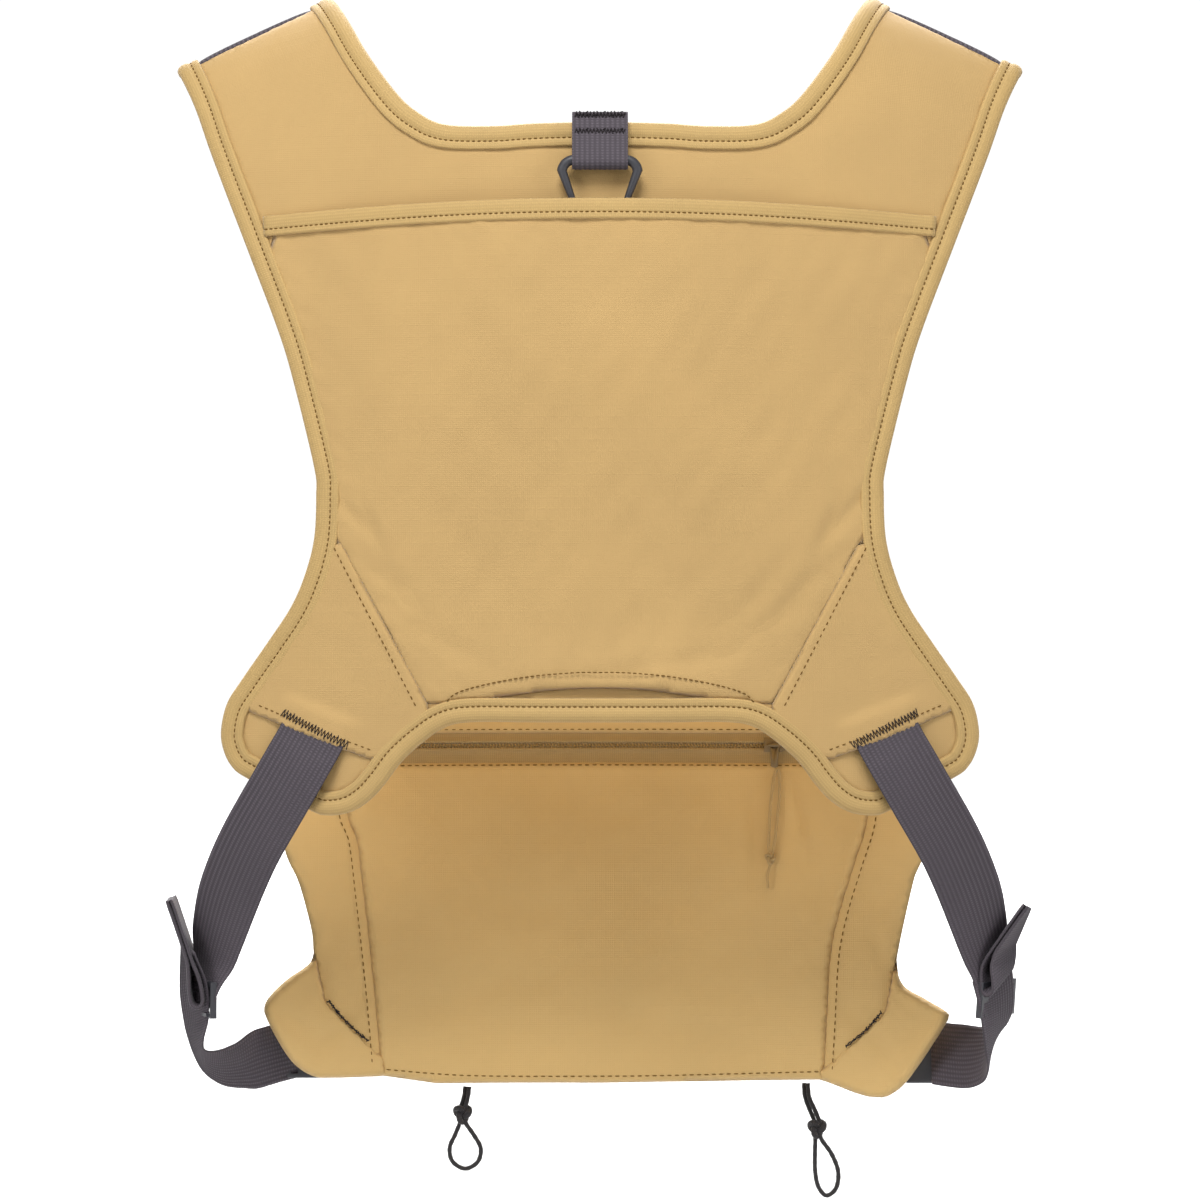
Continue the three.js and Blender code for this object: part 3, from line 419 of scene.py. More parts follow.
def pad_section(width, thick, count=20):
    """Outline of a soft strap: flat in the middle, rolled at both sides."""
    outline = []
    for k in range(2 * count):
        angle = math.pi * k / count
        c, s = math.cos(angle), math.sin(angle)
        outline.append((width / 2 * math.copysign(abs(c) ** 0.7, c),
                        thick / 2 * math.copysign(abs(s) ** 0.55, s)))
    return outline


def strap_frames(stations, step, square=True):
    """Centre, side and outward directions, run and width; square sets the side across the run."""
    s = np.array([tuple(row) + (0,) * (8 - len(row)) for row in stations], float)
    rough = spline(s[:, :3], np.linspace(0, 1, 200))
    count = max(3, int(round(np.linalg.norm(np.diff(rough, axis=0), axis=1).sum() / step)))
    t = np.linspace(0, 1, count + 1)
    centre = spline(s[:, :3], t)
    along = unit(np.gradient(centre, axis=0))
    side = spline(s[:, 3:6], t)
    if square:
        side -= along * np.sum(side * along, axis=1, keepdims=True)
    side = unit(side)
    out = unit(np.cross(along, side))
    return centre, side, out, run_along(centre), spline(s[:, 6:8], t)


def strap(name, stations, section, slot, step=1.6, scale_by=None, taper=0.0, square=True):
    """A strap of one section swept along its stations; scale_by is the section's own width."""
    centre, side, out, run, size = strap_frames(stations, step, square)
    section = np.asarray(section, float)
    wide = size[:, 0] / scale_by if scale_by else np.ones(len(run))
    near_end = np.minimum(run, run[-1] - run)
    thin = np.sqrt(1 - (1 - np.clip(near_end / taper, 0, 1)) ** 2) if taper else np.ones(len(run))
    thin = np.maximum(thin, 0.12)
    u = section[None, :, 0] * wide[:, None]
    v = section[None, :, 1] * thin[:, None]
    rings = centre[:, None] + side[:, None] * u[..., None] + out[:, None] * v[..., None]
    uvs = np.stack([u, np.repeat(run[:, None], len(section), axis=1)], axis=-1)
    return sweep(name, rings, slot, uvs)


def bar_frames(points):
    """Frames that don't twist along a round bar's centre line."""
    along = unit(np.gradient(np.asarray(points, float), axis=0))
    side = np.cross(along[0], (0.3, 0.9, 0.2))
    sides = []
    for direction in along:
        side = side - direction * (side @ direction)
        side /= np.linalg.norm(side)
        sides.append(side)
    sides = np.array(sides)
    return sides, np.cross(along, sides)


def tube_rings(line, radius, sides):
    """Rings round a centre line; the radius is one number or one for each point of the rings."""
    first, second = bar_frames(line)
    angle = np.linspace(0, 2 * math.pi, sides, endpoint=False)
    return (line[:, None] + first[:, None] * (np.cos(angle) * radius)[..., None]
            + second[:, None] * (np.sin(angle) * radius)[..., None])


def braided(name, points, diameter, slot, body, step=0.45, sides=14, closed=False):
    """A braided cord along points in mm, its strands standing a little proud."""
    line = respace(points, step)
    angle = np.linspace(0, 2 * math.pi, sides, endpoint=False)
    run = np.arange(len(line)) * step
    pitch = diameter * 1.7
    weave = np.abs(np.sin(run[:, None] * math.pi / pitch + angle)
                   * np.sin(run[:, None] * math.pi / pitch - angle))
    radius = diameter / 2 * (0.93 + 0.11 * weave)
    uvs = np.stack(np.broadcast_arrays(angle * diameter / 2, run[:, None]), axis=-1)
    return sweep(name, tube_rings(line, radius, sides), slot, uvs, closed, body)


def stitch_row(points, normals, pitch, length, radius):
    """Small raised thread stitches along a line; returns points and faces."""
    line = np.asarray(points, float)
    run = run_along(line)
    at = np.arange(pitch / 2, run[-1], pitch)
    centre = at_runs(line, run, at)
    out = at_runs(normals, run, at)
    along = unit(at_runs(line, run, at + 0.3) - at_runs(line, run, at - 0.3), 1e-6)
    out = unit(out - along * np.sum(out * along, axis=1, keepdims=True), 1e-6)
    side = np.cross(along, out)
    # Each ring of a stitch: how far along it lies, how thick it is and how high it stands.
    profile = [(-0.5, 0.35, -0.5), (-0.3, 0.9, 0.1), (0.0, 1.0, 0.35), (0.3, 0.9, 0.1),
               (0.5, 0.35, -0.5)]
    sides = 6
    made, faces = [], []
    for i in range(len(at)):
        base = len(made)
        for shift, girth, lift in profile:
            for k in range(sides):
                angle = 2 * math.pi * k / sides
                made.append(centre[i] + along[i] * shift * length
                            + side[i] * radius * girth * math.cos(angle)
                            + out[i] * radius * (girth * math.sin(angle) + lift))
        for ring in range(len(profile) - 1):
            for k in range(sides):
                n = (k + 1) % sides
                a, b = base + ring * sides, base + (ring + 1) * sides
                faces.append((a + k, b + k, b + n, a + n))
        faces.append(tuple(base + k for k in range(sides)))
        last = base + (len(profile) - 1) * sides
        faces.append(tuple(last + k for k in reversed(range(sides))))
    return made, faces


def stitching(name, rows, slot, pitch=2.6, length=1.8, radius=0.3, body=BODY):
    """All the stitches of one seam group in one piece. rows hold (points, normals)."""
    points, faces = [], []
    for line, normals in rows:
        made, more = stitch_row(line, normals, pitch, length, radius)
        faces += [tuple(i + len(points) for i in f) for f in more]
        points += made
    return finish(name, points, faces, slot, body=body)


def seam(place, line, d):
    """A plane line lifted onto a surface, with the surface's outward directions."""
    line = respace(line, 1.5)
    low = place(line[:, 0], line[:, 1], np.full(len(line), float(d)))
    high = place(line[:, 0], line[:, 1], np.full(len(line), float(d) + 1))
    return low, high - low


# ------------------------------------------------------------------ materials

def add_node(tree, kind, inputs=(), **settings):
    """Adds a node with its settings, values and links."""
    made = tree.nodes.new(kind)
    for key, value in settings.items():
        setattr(made, key, value)
    for socket, value in dict(inputs).items():
        if isinstance(value, bpy.types.NodeSocket):
            tree.links.new(value, made.inputs[socket])
        else:
            made.inputs[socket].default_value = value
    return made


def new_material(name):
    """An empty material and its node tree."""
    material = bpy.data.materials.new(name)
    material.use_nodes = True
    material.node_tree.nodes.clear()
    return material, material.node_tree


def period(length_mm):
    """Wave texture scale that repeats every length_mm on a map in metres."""
    return math.pi / 10 / (length_mm * MM)


def wave(tree, vector, length_mm, direction):
    """Soft stripes that repeat every length_mm along X or Y, or on the slant."""
    return add_node(tree, "ShaderNodeTexWave", {"Vector": vector, "Scale": period(length_mm)},
                    bands_direction=direction).outputs["Fac"]


def noise(tree, vector, scale, detail=2.0):
    """Uneven patches, finer for a larger scale."""
    return add_node(tree, "ShaderNodeTexNoise", {"Vector": vector, "Scale": scale,
                                                 "Detail": detail}).outputs["Fac"]


def combine(tree, operation, *values):
    """One maths node on two or three values."""
    return add_node(tree, "ShaderNodeMath", dict(enumerate(values)), operation=operation).outputs[0]


def blend(tree, share, low, high):
    """A colour that runs from low to high as share rises."""
    return add_node(tree, "ShaderNodeMix", {"Factor": share, 6: low, 7: high},
                    data_type="RGBA").outputs[2]


def end_material(tree, height, strength, distance, values):
    """Ends a material: relief from a height, the shader with its values and the output."""
    bump = add_node(tree, "ShaderNodeBump", {"Height": height, "Strength": strength,
                                             "Distance": distance})
    shader = add_node(tree, "ShaderNodeBsdfPrincipled", {**values, "Normal": bump.outputs[0]})
    add_node(tree, "ShaderNodeOutputMaterial", {"Surface": shader.outputs[0]})


def woven(name, colour, shade, grid=5.2):
    """Coated nylon in plain weave: fine threads, a faint raised grid and slightly cloudy dye."""
    material, tree = new_material(name)
    uv = add_node(tree, "ShaderNodeTexCoord").outputs["UV"]
    # Warp over weft: the even grain that the cloth shows from close by.
    threads = combine(tree, "MULTIPLY", wave(tree, uv, 0.9, "X"), wave(tree, uv, 0.9, "Y"))
    # Thicker yarns every few millimetres: thin raised lines that cross.
    lines = combine(tree, "MAXIMUM", wave(tree, uv, grid, "X"), wave(tree, uv, grid, "Y"))
    ridge = combine(tree, "POWER", lines, 26.0)
    height = combine(tree, "MULTIPLY_ADD", ridge, 0.45, threads)
    # Dye that took unevenly: soft clouds a few centimetres across, with a little painted shade in the gaps
    # between the threads.
    tone = combine(tree, "MULTIPLY_ADD", threads, 0.3, noise(tree, uv, 14.0))
    rise = combine(tree, "MULTIPLY_ADD", noise(tree, uv, 900.0, 3.0), 0.35, height)
    end_material(tree, rise, 0.55, 0.00012,
            {"Base Color": blend(tree, tone, shade, colour), "Roughness": 0.82, "IOR": 1.5,
             "Sheen Weight": 0.12, "Sheen Roughness": 0.5})
    return material


def ribbed(name, colour, shade, across, along, depth=0.0002, rough=0.75, sheen=0.2,
           groove_shade_share=0.5):
    """Narrow woven tape, webbing or braid: short floats of yarn in rows along its length, with painted shade
    in the gaps between the rows.
    """
    material, tree = new_material(name)
    uv = add_node(tree, "ShaderNodeTexCoord").outputs["UV"]
    # Rows of yarn floats with gaps between them: the ribs that catch the light.
    floats = wave(tree, uv, along, "Y")
    broken = add_node(tree, "ShaderNodeMapRange", {"Value": floats, "To Min": 0.25, "To Max": 1.0})
    height = combine(tree, "MULTIPLY", broken.outputs[0], wave(tree, uv, across, "X"))
    # Light wear: patches that break up the even weave.
    patchy = combine(tree, "MULTIPLY", noise(tree, uv, 30.0), 1 - groove_shade_share)
    # Painted shade: the colour darkens where the weave lies low, in the gaps between the ribs; the rest of
    # the tone is patchy wear.
    tone = combine(tree, "MULTIPLY_ADD", height, groove_shade_share, patchy)
    rise = combine(tree, "MULTIPLY_ADD", noise(tree, uv, 1200.0, 3.0), 0.3, height)
    end_material(tree, rise, 0.7, depth,
            {"Base Color": blend(tree, tone, shade, colour), "Roughness": rough, "IOR": 1.5,
             "Sheen Weight": sheen, "Sheen Roughness": 0.4})
    return material


def spacer_mesh(name, colour, shade):
    """Knitted spacer mesh: small open holes with painted shade inside them, in a soft ground."""
    material, tree = new_material(name)
    uv = add_node(tree, "ShaderNodeTexCoord").outputs["UV"]
    holes = add_node(tree, "ShaderNodeTexVoronoi", {"Vector": uv, "Scale": 380.0, "Randomness": 0.15})
    depth = holes.outputs["Distance"]
    # Painted shade: the colour darkens towards each hole's middle.
    end_material(tree, depth, 0.9, 0.0008,
            {"Base Color": blend(tree, depth, shade, colour), "Roughness": 0.92, "IOR": 1.5,
             "Sheen Weight": 0.3})
    return material


def moulded(name, colour, rough=0.42):
    """Injection-moulded acetal: even colour and a satin skin, finely grained by the mould."""
    material, tree = new_material(name)
    spot = add_node(tree, "ShaderNodeTexCoord").outputs["Object"]
    # Handling leaves some parts a little shinier than others.
    dull = add_node(tree, "ShaderNodeMapRange", {"Value": noise(tree, spot, 60.0),
                                                 "To Min": rough - 0.06, "To Max": rough + 0.1})
    end_material(tree, noise(tree, spot, 2200.0), 0.25, 0.00006,
            {"Base Color": colour, "Roughness": dull.outputs[0], "IOR": 1.48})
    return material


def painted_metal(name, colour):
    """Die-cast zinc with a baked paint: smooth, a soft shine and a fine peel in the coat."""
    material, tree = new_material(name)
    spot = add_node(tree, "ShaderNodeTexCoord").outputs["Object"]
    end_material(tree, noise(tree, spot, 900.0), 0.15, 0.00005,
            {"Base Color": colour, "Roughness": 0.32, "Metallic": 0.35, "Coat Weight": 0.3})
    return material


def thread(name, colour):
    """Bonded polyester sewing thread: dull, with its twist showing as slanting lines."""
    material, tree = new_material(name)
    spot = add_node(tree, "ShaderNodeTexCoord").outputs["Object"]
    end_material(tree, wave(tree, spot, 0.5, "DIAGONAL"), 0.3, 0.0001,
            {"Base Color": colour, "Roughness": 0.85, "Specular IOR Level": 0.1})
    return material


def darker(colour, share, depth=1.0):
    """A colour at a share of its light; a depth above one makes it richer as well."""
    return tuple(c ** depth * share for c in colour[:3]) + (1.0,)


def finish_for(slot):
    """The material for a finish, made the first time it is asked for."""
    name = "vest_" + slot
    made = bpy.data.materials.get(name)
    if made:
        return made
    colours = bpy.context.scene.vest_colours
    tan, pack, tape = tuple(colours.cloth), tuple(colours.pack), tuple(colours.binding)
    web, plastic, cord = tuple(colours.webbing), tuple(colours.plastic), tuple(colours.cord)
    tape_shade = darker(tape, 0.72)
    pack_shade = darker(pack, 0.8)
    # The coil is darker than the pack: partly its own colour, partly painted shade of the slit between the
    # zip's tapes under the yoke.
    coil = darker(pack, 0.42)
    builders = {
        "tan_fabric": lambda: woven(name, tan, darker(tan, 0.82)),
        "pack_fabric": lambda: woven(name, pack, pack_shade, 4.6),
        "binding_tape": lambda: ribbed(name, tape, tape_shade, 1.25, 1.0),
        "elastic": lambda: ribbed(name, tape, tape_shade, 1.5, 1.0),
        # Painted shade: the zip tape is darker than the pack cloth to stand for the yoke's shadow over the
        # top of the pack.
        "zip_tape": lambda: ribbed(name, darker(pack, 0.72), coil, 1.0, 0.8),
        "mesh_lining": lambda: spacer_mesh(name, pack, pack_shade),
        "charcoal_webbing": lambda: ribbed(name, web, darker(web, 0.45), 2.3, 1.3, 0.0004,
                                           rough=0.85, sheen=0.05, groove_shade_share=0.9),
        "black_plastic": lambda: moulded(name, plastic),
        "black_cord": lambda: ribbed(name, cord, darker(cord, 0.5), 0.7, 0.8),
        "tan_cord": lambda: ribbed(name, pack, darker(pack, 0.5), 0.6, 0.7),
        "zip_coil": lambda: moulded(name, coil, 0.45),
        "slider_metal": lambda: painted_metal(name, tuple(colours.slider)),
        # Stitches are darker than their cloth: partly the thread's own colour, partly painted shade of the
        # needle holes and dimples that they sink into.
        "tan_thread": lambda: thread(name, darker(tan, 0.38, 1.4)),
        "pack_thread": lambda: thread(name, darker(pack, 0.34, 1.4)),
        "dark_thread": lambda: thread(name, cord),
    }
    return builders[slot]()


# ------------------------------------------------------------------ sizes and colours


class VestSizes(bpy.types.PropertyGroup):
    """Sizes that a maker would change without recutting the vest."""

    stitch_pitch: bpy.props.FloatProperty(name="Stitch pitch", description="From one stitch to the next",
                                          default=2.6 * MM, min=1 * MM, max=6 * MM, unit="LENGTH")
    stitch_thread: bpy.props.FloatProperty(name="Thread thickness", description="Across one stitch",
                                           default=0.6 * MM, min=0.2 * MM, max=1.5 * MM, unit="LENGTH")
    cord_width: bpy.props.FloatProperty(name="Cord thickness", description="Across a hem cord",
                                        default=2.2 * MM, min=1 * MM, max=4 * MM, unit="LENGTH")
    fill_push: bpy.props.FloatProperty(name="Fill", description="How hard the pack's contents push out",
                                       default=4.0, min=0.0, max=12.0)


class VestColours(bpy.types.PropertyGroup):
    """Colours of the cloth, tape and fittings."""

    cloth: bpy.props.FloatVectorProperty(name="Yoke cloth", description="Cloth of the back yoke",
                                         subtype="COLOR", size=4, default=linear("BD9B63"))
    pack: bpy.props.FloatVectorProperty(name="Pack cloth", description="Cloth of the chest pack",
                                        subtype="COLOR", size=4, default=linear("D3B072"))
    binding: bpy.props.FloatVectorProperty(name="Binding", description="Tape that binds the edges",
                                           subtype="COLOR", size=4, default=linear("C3A266"))
    webbing: bpy.props.FloatVectorProperty(name="Webbing", description="Straps and their underlays",
                                           subtype="COLOR", size=4, default=linear("5C545C"))
    plastic: bpy.props.FloatVectorProperty(name="Plastic", description="Ring, locks and buckles",
                                           subtype="COLOR", size=4, default=linear("37373C"))
    cord: bpy.props.FloatVectorProperty(name="Cord", description="Hem cords and dark thread",
                                        subtype="COLOR", size=4, default=linear("2E2A2C"))
    slider: bpy.props.FloatVectorProperty(name="Sliders", description="Paint on the zip sliders",
                                          subtype="COLOR", size=4, default=linear("76603A"))


# ------------------------------------------------------------------ outlines, flat, in mm

WHOLE_NECK = [unroll(p) for p in mirror_x(NECK_SIDE[1:])[::-1] + NECK_SIDE]
WHOLE_ARM = [unroll(p) for p in ARM_SIDE + mirror_x(ARM_SIDE[:-1])[::-1]]
NECK_LINE = smooth_line(WHOLE_NECK, 2.5)
ARM_LINE = smooth_line(WHOLE_ARM, 2.5)
TUCKED = BINDING_WIDTH - TUCK
NECK_TUCK = beside(NECK_LINE, -TUCKED)
ARM_TUCK = beside(ARM_LINE, -TUCKED)
YOKE_OUTLINE = np.vstack([NECK_TUCK[3:-3], ARM_TUCK[3:-3]])

# In from the edge and out from the yoke's middle: a rolled edge with a groove at its stitches.
BINDING_STITCH = 7.3
BINDING_SECTION = [(11.2, 1.4), (11.1, 2.5), (10.5, 3.0), (9.3, 3.15), (8.2, 3.0), (BINDING_STITCH, 2.6),
                   (6.4, 3.05), (5.0, 3.5), (3.2, 3.5), (1.6, 3.0), (0.5, 2.1), (0.0, 1.0),
                   (0.0, -1.0), (0.5, -2.1), (1.6, -2.9), (3.2, -3.2), (5.0, -3.05), (6.4, -2.55),
                   (BINDING_STITCH, -2.1), (8.2, -2.5), (9.3, -2.62), (10.5, -2.5), (11.1, -2.2),
                   (11.2, -1.4)]
UNDER = 1.55                    # how far the pocket and wings lie out from the yoke's middle


def crumple(seed, big, small, ripple=0.0):
    """Relief of worn cloth: broad swells, small ones and a pucker along the seams."""
    def relief(x, z, edge):
        broad = swell(x, z, 70, seed) * big
        fine = swell(x, z, 19, seed + 1) * small
        pulled = swell(x, z, 8, seed + 2) * ripple * np.exp(-edge / 9)
        return (broad + fine) * smooth_step(edge / 7) + pulled * smooth_step(edge / 3)
    return relief


def dimple(x, z, at, angle, length, width, depth):
    """A soft crease that fades out at both ends."""
    c, s = math.cos(angle), math.sin(angle)
    along = (x - at[0]) * c + (z - at[1]) * s
    across = -(x - at[0]) * s + (z - at[1]) * c
    return -depth * np.exp(-(along / length) ** 2 - (across / width) ** 2)


class VEST_OT_yoke(bpy.types.Operator):
    """Padded back yoke with its mesh lining, edge bindings and their stitches"""

    bl_idname = "vest.yoke"
    bl_label = "Yoke"

    def execute(self, context):
        loose = crumple(3, 0.22, 0.1, 0.16)

        def relief(x, z, edge):
            return loose(x, z, edge) + dimple(x, z, (0, -293.5), 0.0, 46, 3.6, 2.6)

        cloth = cloth_panel("yoke_cloth", YOKE_OUTLINE, 3.0, on_yoke, -1.4, 2.8, "tan_fabric",
                            relief, roll=3.5)
        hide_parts("yoke_panel")
        lining = cloth_panel("yoke_mesh", YOKE_OUTLINE, 4.5, on_yoke, -3.0, 1.0, "mesh_lining",
                             crumple(8, 0.15, 0.05))
        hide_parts("yoke_lining")
        rows = []
        for name, line, node in (("neck_tape", NECK_LINE, "neck_binding"),
                                 ("edge_tape", ARM_LINE, "edge_binding")):
            tape = edge_band(name, line, ridged(BINDING_SECTION), on_yoke, "binding_tape")
            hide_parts(node)
            row = beside(line, -BINDING_STITCH)
            rows.append(seam(on_yoke, row, 2.7))
            low, out = seam(on_yoke, row, -2.25)
            rows.append((low, -out))
        sizes = context.scene.vest_sizes
        stitching("binding_stitches", rows, "tan_thread", pitch=sizes.stitch_pitch / MM,
                  radius=sizes.stitch_thread / MM / 2)
        return {"FINISHED"}


WEB_END = (131.5, -315.4)       # middle of the side webbing's sewn end
WEB_END_TURN = (0.934, 0.357)   # the direction across the webbing there
WEB_END_HALF = 17.5
WEB_END_HIGH = 17               # how far the webbing runs up under the wing
WEB_END_LIFT = 1.9


def wing_lift(x, z):
    """How far a wing stands up over the webbing's end that it covers."""
    c, s = WEB_END_TURN
    away, up = np.abs(x) - WEB_END[0], z - WEB_END[1]
    along = away * c + up * s
    above = -away * s + up * c
    plateau = WEB_END_LIFT / (1 + (np.abs(along) / WEB_END_HALF) ** 8)
    return plateau * smooth_step((WEB_END_HIGH - above) / 6)


def on_wing(x, z, d):
    return on_yoke(x, z, d + wing_lift(x, z))


class VEST_OT_stash_pocket(bpy.types.Operator):
    """Stash pocket across the yoke, with its stretch band and its topstitching"""

    bl_idname = "vest.stash_pocket"
    bl_label = "Stash pocket"

    def execute(self, context):
        top = POCKET_TOP - 3
        side = stretch(ARM_TUCK, (147, -90), WING_SEAM_TOP)
        gore = [(70, -299.5), (60, -298.2), (45, -296.6), (25, -293.8), (10, -292.7), (0, -292.5)]
        right = [(0, top), (60, top - 0.5), (148, top - 4.5)] + side[1:-2].tolist()
        right += [(WING_SEAM_TOP[0] + 2, WING_SEAM_TOP[1]), (WING_SEAM_BASE[0] + 2, WING_SEAM_BASE[1])]
        right += smooth_line(gore, 2.6)[:-1].tolist()
        outline = right + [(0, -292.5)] + mirror_x(right[1:])[::-1]
        loose = crumple(21, 0.35, 0.16, 0.3)

        def mouth(x, z):
            """How far the middle of the hem stands open."""
            return 2.2 * np.exp(-(x / 50) ** 4) * smooth_step((z + 262) / -28)

        def on_mouth(x, z, d):
            return on_pocket(x, z, d + mouth(x, z))

        def relief(x, z, edge):
            shape = loose(x, z, edge)
            for sign, seed in ((-1, 0), (1, 5)):
                shape += dimple(x, z, (sign * 112, -214), sign * 0.9, 16, 3.2, 1.0)
                shape += dimple(x, z, (sign * 104, -217), sign * 1.15, 13, 2.6, 0.8)
                shape += dimple(x, z, (sign * 95, -244), sign * 0.75, 26, 5, 0.7)
                shape += dimple(x, z, (sign * 70, -272 + seed), sign * 0.5, 24, 5, 0.6)
            shape += dimple(x, z, (60, -262), 0.8, 34, 6, 0.7)
            shape += dimple(x, z, (30, -281), 0.15, 40, 4, 0.5)
            shape = 1.5 * shape - 0.55 * (1 - smooth_step(edge / 4))
            return shape + mouth(x, z)

        cloth = cloth_panel("stash_cloth", outline, 2.6, on_pocket, UNDER, 0.75, "tan_fabric", relief,
                            roll=1.2)
        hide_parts("stash_pocket_panel")
        x = np.arange(-154, 154.1, 2.5)
        edge = np.stack([x, POCKET_TOP - 4.4 * (np.abs(x) / 154) ** 2.2], axis=-1)
        section = [(9.6, 0.9), (9.4, 1.9), (8.7, 2.3), (7.2, 2.35), (6.4, 2.05), (5.6, 2.4), (3, 2.6),
                   (1.2, 2.4), (0.3, 1.9), (0, 0.9), (0.4, 0.3), (4.8, 0.15), (9.2, 0.3)]
        lifted = [(s, d + UNDER) for s, d in section]
        band = edge_band("stash_band", edge, ridged(lifted, 1.5, 0.14), on_pocket, "elastic")
        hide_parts("pocket_band")
        rows = [seam(on_pocket, beside(edge, -6.4), UNDER + 2.1)]
        arc = [(70, -299), (64.8, -294.5), (51.6, -290.5), (32, -286.8), (12.5, -285), (0, -284.8)]
        hem = smooth_line(arc[:-1] + mirror_x(arc)[::-1], 1.5)
        rows.append(seam(on_mouth, hem, UNDER + 1.2))
        stitching("stash_stitches", rows, "tan_thread")
        return {"FINISHED"}


class VEST_OT_wings(bpy.types.Operator):
    """Wing panels that cover the side webbing's ends, with their bar tacks"""

    bl_idname = "vest.wings"
    bl_label = "Wings"

    def execute(self, context):
        outer = stretch(ARM_TUCK, WING_SEAM_TOP, COVER_SEAM_OUT)
        lower = stretch(ARM_TUCK, COVER_SEAM_IN, WING_SEAM_BASE)
        right = [WING_SEAM_TOP] + outer[2:-1].tolist() + [COVER_SEAM_OUT, COVER_SEAM_IN]
        right += lower[2:-1].tolist() + [WING_SEAM_BASE]
        rows, tacks = [], []
        for sign, label in ((1, "right"), (-1, "left")):
            turned = np.array(right) * (sign, 1)
            outline = turned if sign > 0 else turned[::-1]
            cloth = cloth_panel("wing_cloth_" + label, outline, 2.0, on_wing, UNDER + 0.5, 0.75,
                                "tan_fabric", crumple(30 + sign, 0.2, 0.1, 0.12), roll=0.6)
            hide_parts("wing_panel_" + label)
            top, base = np.array(WING_SEAM_TOP), np.array(WING_SEAM_BASE)
            away = np.array([3.3, -2.1])
            topstitch = np.array([top + away, base + away + (1.5, 0)]) * (sign, 1)
            rows.append(seam(on_wing, topstitch, UNDER + 1.3))
            inset = np.array([(157, -300.5), (105, -320.5)]) * (sign, 1)
            rows.append(seam(on_wing, inset, UNDER + 1.3))
            zigzag = self.zigzag(np.array([(144.8, -303.6), (114.3, -318.6)]) * (sign, 1))
            tacks.append(seam(on_wing, zigzag, UNDER + 1.4))
        stitching("wing_stitches", rows, "tan_thread", pitch=3.2, length=1.9)
        stitching("wing_tacks", tacks, "dark_thread", pitch=1.1, length=1.4, radius=0.24)
        return {"FINISHED"}

    @staticmethod
    def zigzag(ends):
        """A dense back-and-forth row between two ends, four millimetres high."""
        start, end = ends
        run = end - start
        across = np.array([-run[1], run[0]]) / np.linalg.norm(run) * 2
        count = int(np.linalg.norm(run) / 0.8)
        return np.array([start + run * i / count + across * (1 if i % 2 else -1)
                         for i in range(count + 1)])


# ------------------------------------------------------------------ moulded pieces, made with operators

def placed(piece, slot, matrix=None, body=BODY, sharp=40):
    """Applies a place to a modelled piece, shades it and gives it its finish."""
    only(piece)
    if matrix is not None:
        piece.matrix_world = matrix @ piece.matrix_world
    bpy.ops.object.transform_apply(location=True, rotation=True, scale=True)
    bpy.ops.object.shade_smooth_by_angle(angle=math.radians(sharp))
    settle(piece, slot, body)
    return piece


def cube(name, size, at=(0, 0, 0)):
    """A block in mm, as a start for a moulded piece."""
    bpy.ops.object.select_all(action="DESELECT")
    bpy.ops.mesh.primitive_cube_add(size=1, location=[c * MM for c in at])
    piece = bpy.context.object
    piece.name = name
    piece.scale = [c * MM for c in size]
    bpy.ops.object.transform_apply(location=True, rotation=True, scale=True)
    return piece


def modify(piece, kind, **settings):
    """Adds one modifier with its settings and applies it."""
    only(piece)
    bpy.ops.object.modifier_add(type=kind)
    modifier = piece.modifiers[-1]
    for key, value in settings.items():
        setattr(modifier, key, value)
    bpy.ops.object.modifier_apply(modifier=modifier.name)


def cut(piece, cutters, operation="DIFFERENCE"):
    """Cuts blocks out of a piece, or joins them to it, and removes the blocks."""
    for cutter in cutters:
        modify(piece, "BOOLEAN", object=cutter, operation=operation, solver="EXACT")
        bpy.data.objects.remove(cutter)


def rounded(piece, width, segments=3):
    """Rounds a moulded piece's sharp edges, by a width in mm."""
    modify(piece, "BEVEL", width=width * MM, segments=segments, limit_method="ANGLE",
           angle_limit=math.radians(35), harden_normals=False)


def pick(piece, test):
    """In edit mode, selects the vertices whose place in mm passes a test."""
    mesh = piece.data
    bpy.ops.object.mode_set(mode="OBJECT")
    for part in (*mesh.polygons, *mesh.edges):
        part.select = False
    for vertex in mesh.vertices:
        vertex.select = bool(test(*(vertex.co / MM)))
    bpy.ops.object.mode_set(mode="EDIT")
    bpy.ops.mesh.select_mode(type="VERT")


def reshape(piece, test, shift=None, scale=None):
    """Moves, in mm, or scales about the origin the vertices that pass a test."""
    pick(piece, test)
    if shift:
        bpy.ops.transform.translate(value=[c * MM for c in shift])
    if scale:
        bpy.ops.transform.resize(value=scale, center_override=(0, 0, 0))
    bpy.ops.object.mode_set(mode="OBJECT")


def bent_ring(name, radius, bar, pulls, detail=(48, 14)):
    """A round bar bent into a loop in the XZ plane: pulls hold (test, shift, scale)."""
    bpy.ops.object.select_all(action="DESELECT")
    bpy.ops.mesh.primitive_torus_add(major_radius=radius * MM, minor_radius=bar * MM,
                                     major_segments=detail[0], minor_segments=detail[1])
    piece = bpy.context.object
    piece.name = name
    piece.matrix_world = Matrix.Rotation(math.pi / 2, 4, "X")
    bpy.ops.object.transform_apply(location=True, rotation=True, scale=True)
    for test, shift, scale in pulls:
        reshape(piece, test, shift, scale)
    return piece


